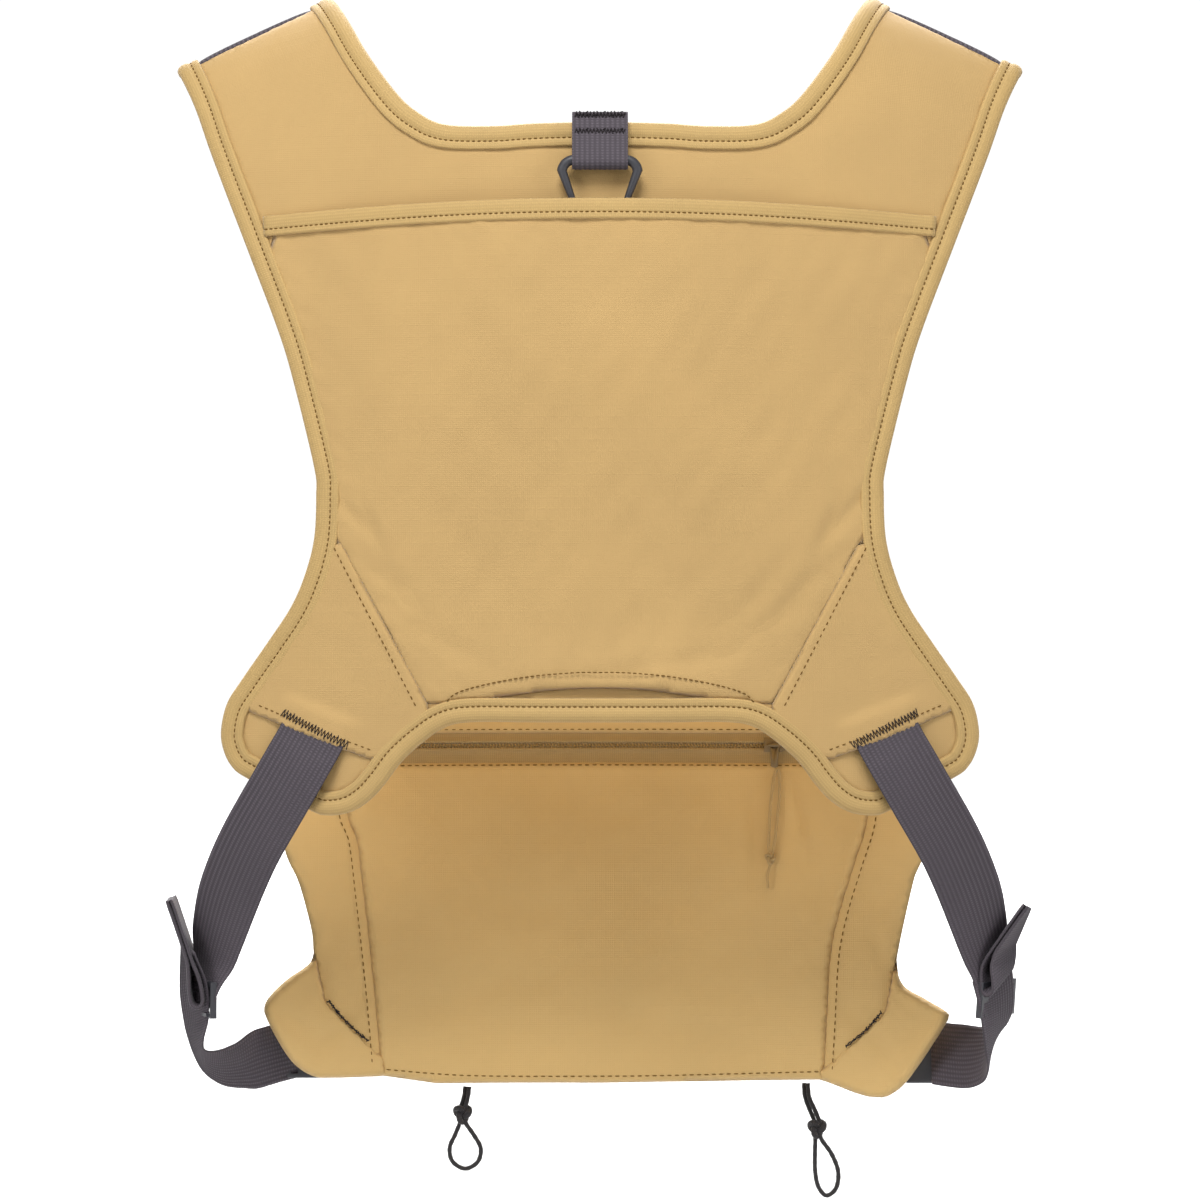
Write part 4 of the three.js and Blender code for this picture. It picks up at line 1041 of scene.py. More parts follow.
class VEST_OT_net_ring(bpy.types.Operator):
    """Moulded net ring that swings in a sewn webbing loop"""

    bl_idname = "vest.net_ring"
    bl_label = "Net ring"

    def execute(self, context):
        low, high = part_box("net_ring")
        middle = Vector([(a + b) / 2 for a, b in zip(low, high)])
        pulls = [(lambda x, y, z: x > 0.01, (11.6, 0, 0), None),
                 (lambda x, y, z: x < -0.01, (-11.6, 0, 0), None),
                 (lambda x, y, z: z > 0.01, (0, 0, 10.2), None),
                 (lambda x, y, z: z < 0.5, (0, 0, -10.2), None),
                 (lambda x, y, z: z < -3, None, (0.55, 0.7, 1))]
        ring = bent_ring("d_ring", 5.6, 2.3, pulls, (64, 16))
        place = Matrix.Translation(middle - Vector((0, 0.45 * MM, 0)))
        placed(ring, "black_plastic", place, "net_ring", 60)
        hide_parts("net_ring")
        bar_y, bar_z = -92.05, -52.7
        reach = 3.6
        centre = [(-86.8, -30.2), (-87.4, -36), (-88.9, -42), (bar_y + reach, bar_z)]
        for k in range(1, 12):
            angle = math.pi * k / 12
            centre.append((bar_y + reach * math.cos(angle), bar_z - reach * math.sin(angle)))
        centre += [(bar_y - reach, bar_z), (-93.2, -44), (-91.6, -38), (-89.2, -30.6)]
        stations = [(0, y, z, 1, 0, 0) for y, z in centre]
        loop = strap("ring_webbing", stations, web_section(25.4, 1.3, 11, 0.2), "charcoal_webbing", 0.9)
        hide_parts("ring_loop")
        rows = []
        for z, y in ((-31.6, -90.772), (-39.4, -92.6)):
            x = np.linspace(-11.4, 11.4, 30)
            zigzag = z + 1.1 * np.where(np.arange(30) % 2, 1, -1)
            line = np.stack([x, np.full(30, y), zigzag], axis=-1)
            rows.append((line, np.tile([0.0, -1.0, 0.25], (30, 1))))
        stitching("ring_tacks", rows, "dark_thread", pitch=1.3, length=1.6, radius=0.35)
        return {"FINISHED"}


def ladder_lock(name, web):
    """A moulded three-bar lock: bars along X, strap along Y, faces along Z."""
    outer = web + 5
    frame_block = cube(name, (outer, 17, 3.6))
    reshape(frame_block, lambda x, y, z: abs(y) > 5, scale=(1, 1, 0.82))
    slots = [cube("slot", (web + 1, 5.0, 9), (0, y, 0)) for y in (-3.9, 3.7)]
    cut(frame_block, slots)
    cut(frame_block, [cube("lip", (web - 2, 1.6, 4.4), (0, 7.0, 0.5))], "UNION")
    rounded(frame_block, 0.55)
    return frame_block


def basis(first, second, third, at):
    """A place whose X, Y and Z run along three directions, at a point in mm."""
    columns = [Vector(v).normalized() for v in (first, second, third)]
    turned = Matrix(columns).transposed().to_4x4()
    return Matrix.Translation(Vector(at) * MM) @ turned


# Strap stations: x, y, z, then the direction across the strap and, where it changes, its width.
STRAP_PATH = [(161.1, -14.6, 10.2, 0.908, 0, -0.4195, 78), (161.35, -8.4, 10.8, 0.908, 0, -0.4195, 78),
              (160.4, 3, 8.4, 0.908, 0, -0.4195, 78), (157.4, 15, 2.3, 0.908, 0, -0.4195, 77),
              (146.7, 33.3, -21, 0.92, 0, -0.38, 75), (134, 41, -52.7, 0.95, 0.02, -0.3, 71),
              (125, 46, -85, 0.98, 0.05, -0.18, 66), (119.5, 51, -120, 1, 0.08, -0.08, 58),
              (116, 56, -155, 1, 0.1, 0, 48)]
SHOULDER_PATH = [(115.5, 58, -156.5, 1, 0.1, 0), (113, 62, -190, 1, 0.05, 0), (112, 62, -222, 1, 0, 0),
                 (112, 61, -238, 1, 0, 0)]
UPPER_PATH = [(126.8, -60.7, -304, 0.93, 0.33, 0.37), (130.2, -59.4, -310.5, 0.93, 0.33, 0.37),
              (133.8, -58.7, -317.3, 0.93, 0.32, 0.37), (139.4, -57.6, -327, 0.9, 0.32, 0.38),
              (148.4, -52, -342.3, 0.88, 0.34, 0.38), (162.7, -37, -366.5, 0.87, 0.38, 0.35),
              (173.7, -17, -390.2, 0.85, 0.42, 0.32), (180.4, -2, -409.8, 0.74, 0.65, 0.2),
              (183.6, 5.5, -421, 0.6, 0.78, 0.06)]
UPPER_END_LEFT = [(186, 9.5, -432, 0.42, 0.9, 0.0), (187, 11.5, -442, 0.3, 0.95, 0.0)]
UPPER_END_RIGHT = [(185.6, 10, -432, 0.52, 0.85, 0.0), (186.5, 12.5, -442, 0.5, 0.86, 0.0)]
# The webbing's two edges: near x, near z, far x, far z, and the middle's y.
LOWER_LEFT = [(-190.8, -418.3, -199.3, -414.2, 12.0), (-184.4, -436.6, -199.2, -443.2, 11.5),
              (-184.5, -449.4, -197.6, -455.4, 15), (-187.2, -460.6, -194.4, -467.0, 18.5),
              (-186.6, -465.0, -189.6, -477.4, 24), (-181.4, -465.9, -181.4, -484.3, 31.5),
              (-173.1, -463.2, -171.0, -486.5, 39.5), (-164.3, -457.6, -161.8, -486.3, 46),
              (-153, -454.9, -149.9, -483.1, 50), (-141, -453.7, -137.4, -480.3, 51.5)]
LOWER_RIGHT = [(175.2, -431.8, 194.4, -420.9, 7.5), (178.0, -442.3, 196.3, -435.2, 9),
               (179.8, -451.8, 196.2, -447.0, 12.5), (181.7, -463.7, 193.4, -454.8, 19.5),
               (183.6, -474.6, 188.0, -457.0, 27), (181.9, -481.7, 180.5, -456.6, 35.5),
               (174.3, -485.5, 172.4, -455.8, 43), (163.9, -484.8, 163.8, -455.3, 48),
               (159.3, -484.3, 159.5, -454.9, 51.5)]
TAIL_LEFT = [(-189.6, -441, -190.4, -440, 10), (-191.4, -428.4, -192.2, -427, 10.5),
             (-197, -410.4, -197.8, -409.6, 12), (-203, -393.4, -203.6, -393, 14)]
TAIL_RIGHT = [(182, -435.5, 194, -425, 9.5), (181.5, -424.5, 195.4, -418.5, 10),
              (191.5, -408, 199.4, -409, 11.5), (200.6, -395.6, 204, -398.2, 13)]
SIDE_WEB = 32.0
WEB_THICK = 1.5
SIDE_RIBS = 13


def mirrored(stations, sign):
    """Strap stations for the right side, or for the left one when sign is -1."""
    return [(sign * s[0], s[1], s[2], sign * s[3], s[4], s[5], *s[6:]) for s in stations]


def between(edges, width):
    """Strap stations from where its near and far edges run; the width sets how deep it lies."""
    made = []
    for near_x, near_z, far_x, far_z, y in edges:
        dx, dz = far_x - near_x, far_z - near_z
        dy = math.sqrt(max(width * width - dx * dx - dz * dz, 1))
        made.append(((near_x + far_x) / 2, y, (near_z + far_z) / 2, dx, dy, dz))
    return made


def strap_part(stations, low, high):
    """The same strap between two offsets from its edges; each is (share of width, mm)."""
    made = []
    for x, y, z, u, v, w, width in stations:
        start, end = (share * width + extra for share, extra in (low, high))
        length = math.sqrt(u * u + v * v + w * w)
        middle = (start + end) / 2 / length
        made.append((x + u * middle, y + v * middle, z + w * middle, u, v, w, end - start))
    return made


class VEST_OT_shoulder_straps(bpy.types.Operator):
    """Shoulder straps over the chest: padded middle, two bindings, webbing and ladder lock"""

    bl_idname = "vest.shoulder_straps"
    bl_label = "Shoulder straps"

    def execute(self, context):
        parts = {"pad": ((-0.5, BINDING_WIDTH - 2), (0.5, 2 - BINDING_WIDTH)),
                 "binding_inner": ((-0.5, 0), (-0.5, BINDING_WIDTH)),
                 "binding_outer": ((0.5, -BINDING_WIDTH), (0.5, 0))}
        rows = []
        for sign, label in ((1, "right"), (-1, "left")):
            for part, (low, high) in parts.items():
                path = STRAP_PATH if part == "pad" else STRAP_PATH[1:]
                stations = mirrored(strap_part(path, low, high), sign)
                thick = 5.0 if part == "pad" else 6.2
                slot = "charcoal_webbing" if part == "pad" else "binding_tape"
                piece = strap(f"strap_{part}_soft_{label}", stations, pad_section(1, thick), slot, 2.5,
                              scale_by=1, taper=2.5)
                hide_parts(f"strap_{part}_{label}")
                if part != "pad":
                    centre, side, out, _, size = strap_frames(stations, 2.5)
                    inward = sign * (1 if part == "binding_inner" else -1)
                    row = centre + side * inward * size[:, :1] * 0.17
                    rows.append((row + out * 3.05, out))
                    rows.append((row - out * 3.05, -out))
            web = strap("chest_webbing_" + label, mirrored(SHOULDER_PATH, sign),
                        web_section(25, WEB_THICK, 11), "charcoal_webbing")
            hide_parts("shoulder_webbing_" + label)
            lock = ladder_lock("chest_lock_" + label, 25)
            place = basis((1, 0, 0), (0, 0, 1), (0, -1, 0), (sign * 112, 61, -250))
            placed(lock, "black_plastic", place)
            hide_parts("shoulder_ladder_lock_" + label)
        stitching("strap_stitches", rows, "tan_thread")
        return {"FINISHED"}


def folded_tail(stations, sign):
    """The strap's end folded double, open in a drop-shaped loop where it leaves the lock."""
    centre, side, out, run, _ = strap_frames([s + (1, 1) for s in stations], 1.0, False)
    if (out[:, 0] * sign).mean() < 0:
        out = -out
    along = centre[0] - centre[2]
    along /= np.linalg.norm(along)
    total = run[-1]
    # Each point's distance from the lock and its height off the strap's middle.
    outline = [(total - 0.3, 0.8), (total - 2, 1.0), (total * 0.75, 0.98), (total * 0.5, 0.98),
               (total * 0.38, 1.1), (total * 0.24, 2.3), (total * 0.1, 3.0), (-1.5, 2.3),
               (-3.2, 0.0), (-2.0, -2.2), (total * 0.08, -2.9), (total * 0.22, -2.2),
               (total * 0.38, -1.1), (total * 0.5, -0.98), (total * 0.75, -0.98),
               (total - 2, -1.0), (total - 0.3, -0.8)]
    made = []
    for at, lift in outline:
        place, facing, across = (at_runs(rows, run, max(at, 0)) for rows in (centre, out, side))
        place = place + along * max(-at, 0)
        made.append(tuple(place + facing * lift) + tuple(across))
    return made


class VEST_OT_side_straps(bpy.types.Operator):
    """Side webbing from the yoke to the pack, with ladder locks and folded free ends"""

    bl_idname = "vest.side_straps"
    bl_label = "Side straps"

    def execute(self, context):
        section = web_section(SIDE_WEB, WEB_THICK, SIDE_RIBS, 0.42)
        double = web_section(SIDE_WEB, 1.9, SIDE_RIBS, 0.42)
        for sign, label, end, lower, tail, turn in (
                (1, "right", UPPER_END_RIGHT, LOWER_RIGHT, TAIL_RIGHT, 0.5),
                (-1, "left", UPPER_END_LEFT, LOWER_LEFT, TAIL_LEFT, 0.3)):
            for part, stations in (("side_webbing_upper", mirrored(UPPER_PATH + end, sign)),
                                   ("side_webbing_lower", between(lower, SIDE_WEB)),
                                   ("webbing_tail", folded_tail(between(tail, SIDE_WEB), sign))):
                shape = double if part == "webbing_tail" else section
                web = strap(f"{part}_woven_{label}", stations, shape, "charcoal_webbing", 1.3,
                            square=part == "side_webbing_upper")
                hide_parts(f"{part}_{label}")
            lock = ladder_lock("side_lock_" + label, SIDE_WEB)
            bar = Vector((sign * turn, 0.9, 0)).normalized()
            run = Vector((sign * 0.12, 0.35, -0.93))
            run = (run - bar * run.dot(bar)).normalized()
            placed(lock, "black_plastic", basis(bar, run, bar.cross(run), (sign * 187.5, 13.5, -440.7)))
            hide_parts("side_ladder_lock_" + label)
        return {"FINISHED"}


class VEST_OT_buckles(bpy.types.Operator):
    """Side-release buckles behind the hip wings"""

    bl_idname = "vest.buckles"
    bl_label = "Buckles"

    def execute(self, context):
        for sign, label, x, z in ((1, "right", 166, -468), (-1, "left", -150.5, -465.5)):
            at = (x - sign * 24, 58.5, z)
            place = basis((sign, 0, 0), (0, sign, 0), (0, 0, 1), at)
            shell = cube("buckle_socket_shell_" + label, (17, 9, 31), (-4.5, 0, 0))
            reshape(shell, lambda x, y, z: x < -5, scale=(1, 0.8, 0.86))
            rounded(shell, 1.6)
            cutters = [cube("cavity", (15, 5.4, 26), (-2.5, 0, 0))]
            cutters += [cube("window", (7, 14, 4), (-4, 0, z)) for z in (-15.5, 15.5)]
            cut(shell, cutters)
            rounded(shell, 0.35, 2)
            placed(shell, "black_plastic", place)
            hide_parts("buckle_socket_" + label)
            plug = cube("buckle_plug_prongs_" + label, (20, 7, 33.5), (14.5, 0, 0))
            rounded(plug, 1.4)
            cut(plug, [cube("slot", (3.6, 14, 29), (20.5, 0, 0))])
            prongs = [cube("prong", (14, 4.2, 4.6), (-1, 0, z)) for z in (-9.5, 0, 9.5)]
            cut(plug, prongs, "UNION")
            rounded(plug, 0.4, 2)
            placed(plug, "black_plastic", place)
            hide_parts("buckle_plug_" + label)
        return {"FINISHED"}


# ------------------------------------------------------------------ chest pack

SEAM_LEFT = [(-127, -300), (-125.5, -330), (-121.7, -356.4), (-117.3, -368.4), (-114, -395.9),
             (-110.6, -426.3), (-107.7, -456.6), (-105.8, -481)]
SEAM_RIGHT = [(127, -300), (129, -330), (128.9, -357.4), (122.6, -379.5), (115.9, -401.7),
              (111.5, -423.3), (109.6, -456.6), (108.1, -483)]
OUTER_LEFT = [(-132, -268), (-148, -300), (-152, -340), (-150.5, -370.8), (-143.8, -387.7),
              (-138, -409.9), (-137.1, -419.5)]
OUTER_RIGHT = [(132, -268), (148, -300), (154, -340), (154.4, -372.3), (150.1, -384.8),
               (144.8, -408.4), (141.9, -423.3)]
HIP_LEFT = [(-139, -426.3), (-150.5, -434.4), (-159.7, -444.5), (-158.8, -452.8), (-148.2, -472),
            (-138, -480.2), (-128.4, -481.5), (-106.5, -481.5)]
HIP_RIGHT = [(144.5, -436), (155.9, -443.1), (165.5, -448.9), (165.5, -453.2), (148.6, -480.2),
             (139, -489.4), (132.3, -490.8), (124.1, -489.4), (109, -484)]
TACK_LEFT = [(-131.7, -443.6), (-111.5, -464.8)]
TACK_RIGHT = [(136.5, -448.9), (118.1, -467.2)]
PACK_SKIN = 2.4


class VEST_OT_pack_cloth(bpy.types.Operator):
    """Cloth of the pack that faces the wearer: back, top, sides and hip wings"""

    bl_idname = "vest.pack_cloth"
    bl_label = "Pack cloth"

    def execute(self, context):
        left, right = smooth_line(SEAM_LEFT, 4).tolist(), smooth_line(SEAM_RIGHT, 4).tolist()
        below = [p for p in left if p[1] < ZIP_BASE - 3]
        panel = [(-125.7, ZIP_BASE - 0.5)] + below + [(-78.8, -485.5), (0, -486), (47.9, -485)]
        panel += [p for p in right if p[1] < ZIP_BASE - 3][::-1] + [(129, ZIP_BASE - 0.5)]
        top = [(-126, -317.3), (127.6, -317.3), (126.4, -300), (125.6, PACK_TOP), (-125.6, PACK_TOP),
               (-126.4, -300)]
        self.panel("pack_back_cloth", panel, "pack_back_panel", 2.6, self.drape(41))
        self.panel("pack_top_cloth", top, "pack_top_panel", 3.0, crumple(44, 0.3, 0.12, 0.15), 0.2)
        for label, low, high in (("lower", ZIP_MIDDLE - 11.7, ZIP_MIDDLE - 0.7),
                                 ("upper", ZIP_MIDDLE + 0.1, ZIP_MIDDLE + 11)):
            tape = [(-125.5, low), (128.5, low), (128.5, high), (-125.5, high)]
            # The zip tapes carry painted shade: their finish is darker than the pack cloth, for the yoke's
            # shadow.
            flat = cloth_panel("back_zip_cloth_" + label, tape, 1.2, on_pack, 0.2, 0.8, "zip_tape",
                               self.ridge, roll=0.5)
            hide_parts("back_zip_tape")
        rows, tacks = [], []
        x = np.array([-125.0, 128.0])
        for z in (-314.8, -332.0):
            rows.append(seam(on_pack, np.stack([x, [z, z]], axis=-1), PACK_SKIN + 0.1))
        for sign, line, outer, hip, tack, label in (
                (-1, left, OUTER_LEFT, HIP_LEFT, TACK_LEFT, "left"),
                (1, right, OUTER_RIGHT, HIP_RIGHT, TACK_RIGHT, "right")):
            start, end = tack
            tucked = [(x - sign * 3, z) for x, z in line]
            outer = smooth_line(outer, 4).tolist()
            below = [(start[0] + sign * 2, start[1] - 7), (end[0] + sign * 2, end[1] - 8)]
            side = [(sign * 123.5, PACK_TOP)] + tucked + [(sign * 110, -480)] + below[::-1] + outer[::-1]
            self.panel("pack_side_cloth_" + label, side, "pack_side_" + label, 2.4,
                       self.pulled(sign, start, 50 + sign, 1.7), -0.9)
            hip = smooth_line([outer[-1]] + hip, 3).tolist()
            joined = end[1] - (7.5 if sign < 0 else 11)
            wing = [start, end] + [p for p in tucked if p[1] < joined] + hip[::-1]
            self.panel("hip_cloth_" + label, wing, "hip_wing_" + label, 2.2,
                       self.pulled(sign, start, 60 + sign), 0.0)
            shifted = np.array([p for p in line if -345 > p[1] > -480]) + (sign * 3.9, 0)
            rows.append(seam(on_pack, shifted, PACK_SKIN - 0.15))
            run = np.array([end, start], float)
            step = unit(run[1] - run[0])
            bar = np.linspace(run[0] + step, run[1] - step, 60)
            zigzag = np.where(np.arange(60) % 2, 0.6, -0.6)
            bow = zigzag - sign * np.sin(np.linspace(0, math.pi, 60))
            bar += np.array([-step[1], step[0]]) * bow[:, None]
            tacks.append(seam(on_pack, bar, PACK_SKIN + 0.5))
        hem = np.array([(-104, -478), (-63, -481.8), (0, -482.6), (48, -481.6), (106, -479)])
        rows.append(seam(on_pack, smooth_line(hem, 2), PACK_SKIN + 0.1))
        stitching("pack_stitches", rows, "pack_thread", pitch=3.6, length=2.2, radius=0.3)
        stitching("pack_tacks", tacks, "dark_thread", pitch=1.1, length=1.6, radius=0.36)
        return {"FINISHED"}

    @staticmethod
    def ridge(x, z, edge):
        """Zip tape stands up over its coil and dips before the cloth's fold."""
        away = np.abs(z - ZIP_MIDDLE + 0.3)
        return 1.1 * np.exp(-((away - 1.6) / 1.5) ** 2) - 0.4 * np.exp(-((away - 4.6) / 1.1) ** 2)

    @staticmethod
    def panel(name, outline, node, step, relief, base=0.0):
        """One cloth panel of the pack, in place of the part that it stands for."""
        cloth = cloth_panel(name, outline, step, on_pack, base, PACK_SKIN, "pack_fabric", relief,
                            roll=2.0)
        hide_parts(node)

    @staticmethod
    def pulled(sign, start, seed, sunk=0.0):
        """Creases that the hip strap's pull draws in the pack's side; sunk lowers its edges."""
        loose = crumple(seed, 0.3, 0.15, 0.2)

        def relief(x, z, edge):
            shape = loose(x, z, edge)
            shape += dimple(x, z, (start[0] + sign * 2, start[1] + 22), sign * -1.1, 20, 4, 0.9)
            shape += dimple(x, z, (start[0] - sign * 6, start[1] - 14), sign * -0.9, 22, 4, 1.0)
            shape += dimple(x, z, (start[0] - sign * 12, start[1] + 60), sign * -0.8, 26, 6, 0.8)
            shape += dimple(x, z, (start[0] + sign * 14, start[1] - 12), sign * 0.7, 18, 5, 0.8)
            return 1.5 * shape * smooth_step((edge - 2) / 6) - sunk * (1 - smooth_step(edge / 6))
        return relief

    @staticmethod
    def drape(seed):
        """Folds of the pack's back: broad ones low down, short ones under the zip's pull."""
        loose = crumple(seed, 0.45, 0.18, 0.3)

        def relief(x, z, edge):
            shape = loose(x, z, edge)
            shape += dimple(x, z, (-60, -440), 0.25, 48, 9, 0.9)
            shape += dimple(x, z, (45, -462), -0.2, 55, 8, 0.8)
            shape += dimple(x, z, (0, -400), 0.05, 75, 14, 0.8)
            shape += dimple(x, z, (-96, -372), 1.2, 30, 6, 0.7)
            shape += dimple(x, z, (100, -380), -1.15, 30, 6, 0.7)
            shape += dimple(x, z, (73.5, -362), 1.6, 15, 2.4, 1.3)
            shape += dimple(x, z, (95.5, -356), 1.75, 18, 2.4, 1.5)
            return 1.4 * shape * smooth_step((edge - 2) / 7)
        return relief


def rounded_box(half, top, base, corner):
    """Outline of an upright box with round corners."""
    points = []
    for cx, cz, start in ((half - corner, top - corner, 0), (-half + corner, top - corner, 90),
                          (-half + corner, base + corner, 180), (half - corner, base + corner, 270)):
        for k in range(10):
            angle = math.radians(start + k * 10)
            points.append((cx + corner * math.cos(angle), cz + corner * math.sin(angle)))
    return points


def pillow(name, outline, near, far, shrink, cap, slot):
    """A filled bag: a closed form on the pack's curve, blown up by cloth simulation."""
    flat, faces, edge = triangles(outline, 6)
    x, z = flat[:, 0], flat[:, 1]
    rim = edge < 0.3
    count = len(flat)
    layers = np.linspace(near - shrink, far + shrink, 9)
    points = [on_pack(x, z, np.full(count, d)) for d in (layers[0], layers[-1])]
    mesh_faces = faces + [tuple(i + count for i in reversed(f)) for f in faces]
    rim_points = respace(outline, 6, closed=True)
    order = [int(np.argmin(np.linalg.norm(flat - p, axis=1))) for p in rim_points]
    walls = [order]
    made = list(points[0]) + list(points[1])
    for d in layers[1:-1]:
        start = len(made)
        made += list(on_pack(x[order], z[order], np.full(len(order), d)))
        walls.append(list(range(start, start + len(order))))
    walls.append([i + count for i in order])
    for upper, lower in zip(walls[:-1], walls[1:]):
        for k in range(len(order)):
            n = (k + 1) % len(order)
            mesh_faces.append((upper[k], upper[n], lower[n], lower[k]))
    piece = finish(name, made, mesh_faces, slot)
    recalculate(piece)
    modify(piece, "REMESH", mode="VOXEL", voxel_size=5 * MM)
    # The simulation takes a few seconds.
    inflate(piece, cap)
    modify(piece, "SUBSURF", levels=1, render_levels=1)
    box_map(piece)
    for polygon in piece.data.polygons:
        polygon.use_smooth = True
    settle(piece, slot)
    return piece


def inflate(piece, cap):
    """Blows a closed bag up with cloth simulation, no point moving further than cap."""
    scene = bpy.context.scene
    before = np.array([v.co for v in piece.data.vertices])
    only(piece)
    bpy.ops.object.modifier_add(type="CLOTH")
    cloth = piece.modifiers[-1]
    cloth.settings.use_pressure = True
    cloth.settings.uniform_pressure_force = scene.vest_sizes.fill_push
    cloth.settings.effector_weights.gravity = 0
    cloth.settings.quality = 4
    for number in range(1, 21):
        scene.frame_set(number)
    shaped = piece.evaluated_get(bpy.context.evaluated_depsgraph_get()).to_mesh()
    after = np.array([v.co for v in shaped.vertices])
    piece.modifiers.remove(cloth)
    scene.frame_set(1)
    moved = after - before
    far = np.linalg.norm(moved, axis=1, keepdims=True)
    moved *= np.minimum(1, cap * MM / np.maximum(far, 1e-9))
    piece.data.vertices.foreach_set("co", (before + moved).ravel())
    piece.data.update()


def box_map(piece):
    """Lays the weave over a bag from the side that each face looks to."""
    mesh = piece.data
    layer = mesh.uv_layers.new(name="Weave")
    for polygon in mesh.polygons:
        normal = [abs(c) for c in polygon.normal]
        skip = normal.index(max(normal))
        for corner in polygon.loop_indices:
            place = mesh.vertices[mesh.loops[corner].vertex_index].co
            layer.data[corner].uv = {0: (place.y, place.z), 1: (place.x, place.z),
                                     2: (place.x, place.y)}[skip]


# Out from the pack's back towards the wearer, so depths further from the chest are negative.
PACK_FRONT = -63.2
POCKET_BACK = -64.4
POCKET_FRONT = -84.4
BACK_SLIDER_X = 85.3
PULL_OUT = 5.55                 # how far the back zip's pull hangs out from the pack


class VEST_OT_pack_body(bpy.types.Operator):
    """Filled body of the chest pack and its front pocket"""

    bl_idname = "vest.pack_body"
    bl_label = "Pack body"

    def execute(self, context):
        body = pillow("pack_lump", rounded_box(109, PACK_TOP - 3, PACK_BASE + 3, 22), -1.4, PACK_FRONT, 3, 5,
                      "pack_fabric")
        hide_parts("pack_body")
        pocket = pillow("pocket_lump", rounded_box(89, -353, PACK_BASE + 17, 18), POCKET_BACK, POCKET_FRONT,
                        2, 4, "pack_fabric")
        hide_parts("front_pocket")
        return {"FINISHED"}


def helix(name, z, d, x_range, slot, facing):
    """A zip's two wound coils, side by side along the pack's curve."""
    wire, pitch, radius, sides = 0.33, 1.5, 0.85, 5
    made, faces = [], []
    for row, start in ((-1, math.pi), (1, 0)):
        x = np.arange(x_range[0], x_range[1], pitch / 9)
        turn = (x - x_range[0]) / pitch * 2 * math.pi + start
        line = on_pack(x, z + row * 0.75 + np.cos(turn) * radius, d + facing * 0.62 * np.sin(turn))
        base = len(made)
        made += list(tube_rings(line, wire, sides).reshape(-1, 3))
        for i in range(len(line) - 1):
            for k in range(sides):
                n = (k + 1) % sides
                a = base + i * sides
                faces.append((a + k, a + n, a + sides + n, a + sides + k))
        faces.append(tuple(base + k for k in reversed(range(sides))))
        faces.append(tuple(base + (len(line) - 1) * sides + k for k in range(sides)))
    return finish(name, made, faces, slot)


def seat(x, z, d):
    """The place of a zip part made about the origin, facing out along Y."""
    at = on_pack(np.array([float(x)]), np.array([float(z)]), np.array([float(d)]))[0]
    turn = Matrix.Rotation(-math.asin(x / PACK_RADIUS), 4, "Z")
    return Matrix.Translation(Vector(at) * MM) @ turn


def zip_slider(name, out, body, place):
    """Slider: a waisted plate over the coil with an arch that holds the pull."""
    plate = cube(name, (11, 1.6, 7), (0, out * 0.8, 0))
    only(plate)
    bpy.ops.object.mode_set(mode="EDIT")
    bpy.ops.mesh.select_all(action="SELECT")
    bpy.ops.mesh.subdivide(number_cuts=3)
    bpy.ops.object.mode_set(mode="OBJECT")
    reshape(plate, lambda x, y, z: abs(x) < 1, scale=(1, 1, 0.8))
    reshape(plate, lambda x, y, z: x > 5, scale=(1, 1, 0.6))
    bpy.ops.object.select_all(action="DESELECT")
    bpy.ops.mesh.primitive_torus_add(major_radius=2.3 * MM, minor_radius=0.75 * MM, major_segments=20,
                                     minor_segments=10, location=(0, out * 2.3 * MM, 0))
    arch = bpy.context.object
    arch.matrix_world = arch.matrix_world @ Matrix.Diagonal((1.35, 0.85, 1.2, 1))
    bpy.ops.object.transform_apply(location=True, rotation=True, scale=True)
    cut(plate, [arch], "UNION")
    rounded(plate, 0.3, 2)
    return placed(plate, "slider_metal", place, body, 50)


def knot(name, at, size, thick, slot, body):
    """A small tight overhand knot in a cord, as a closed three-lobed loop of it."""
    turn = np.linspace(0, 2 * math.pi, 60, endpoint=False)
    points = np.stack([(np.sin(turn) + 2 * np.sin(2 * turn)) * size[0] / 6,
                       -np.sin(3 * turn) * size[1] / 2.4,
                       (np.cos(turn) - 2 * np.cos(2 * turn)) * size[2] / 6], axis=-1)
    return braided(name, points + np.array(at), thick, slot, body, step=0.4, sides=10, closed=True)


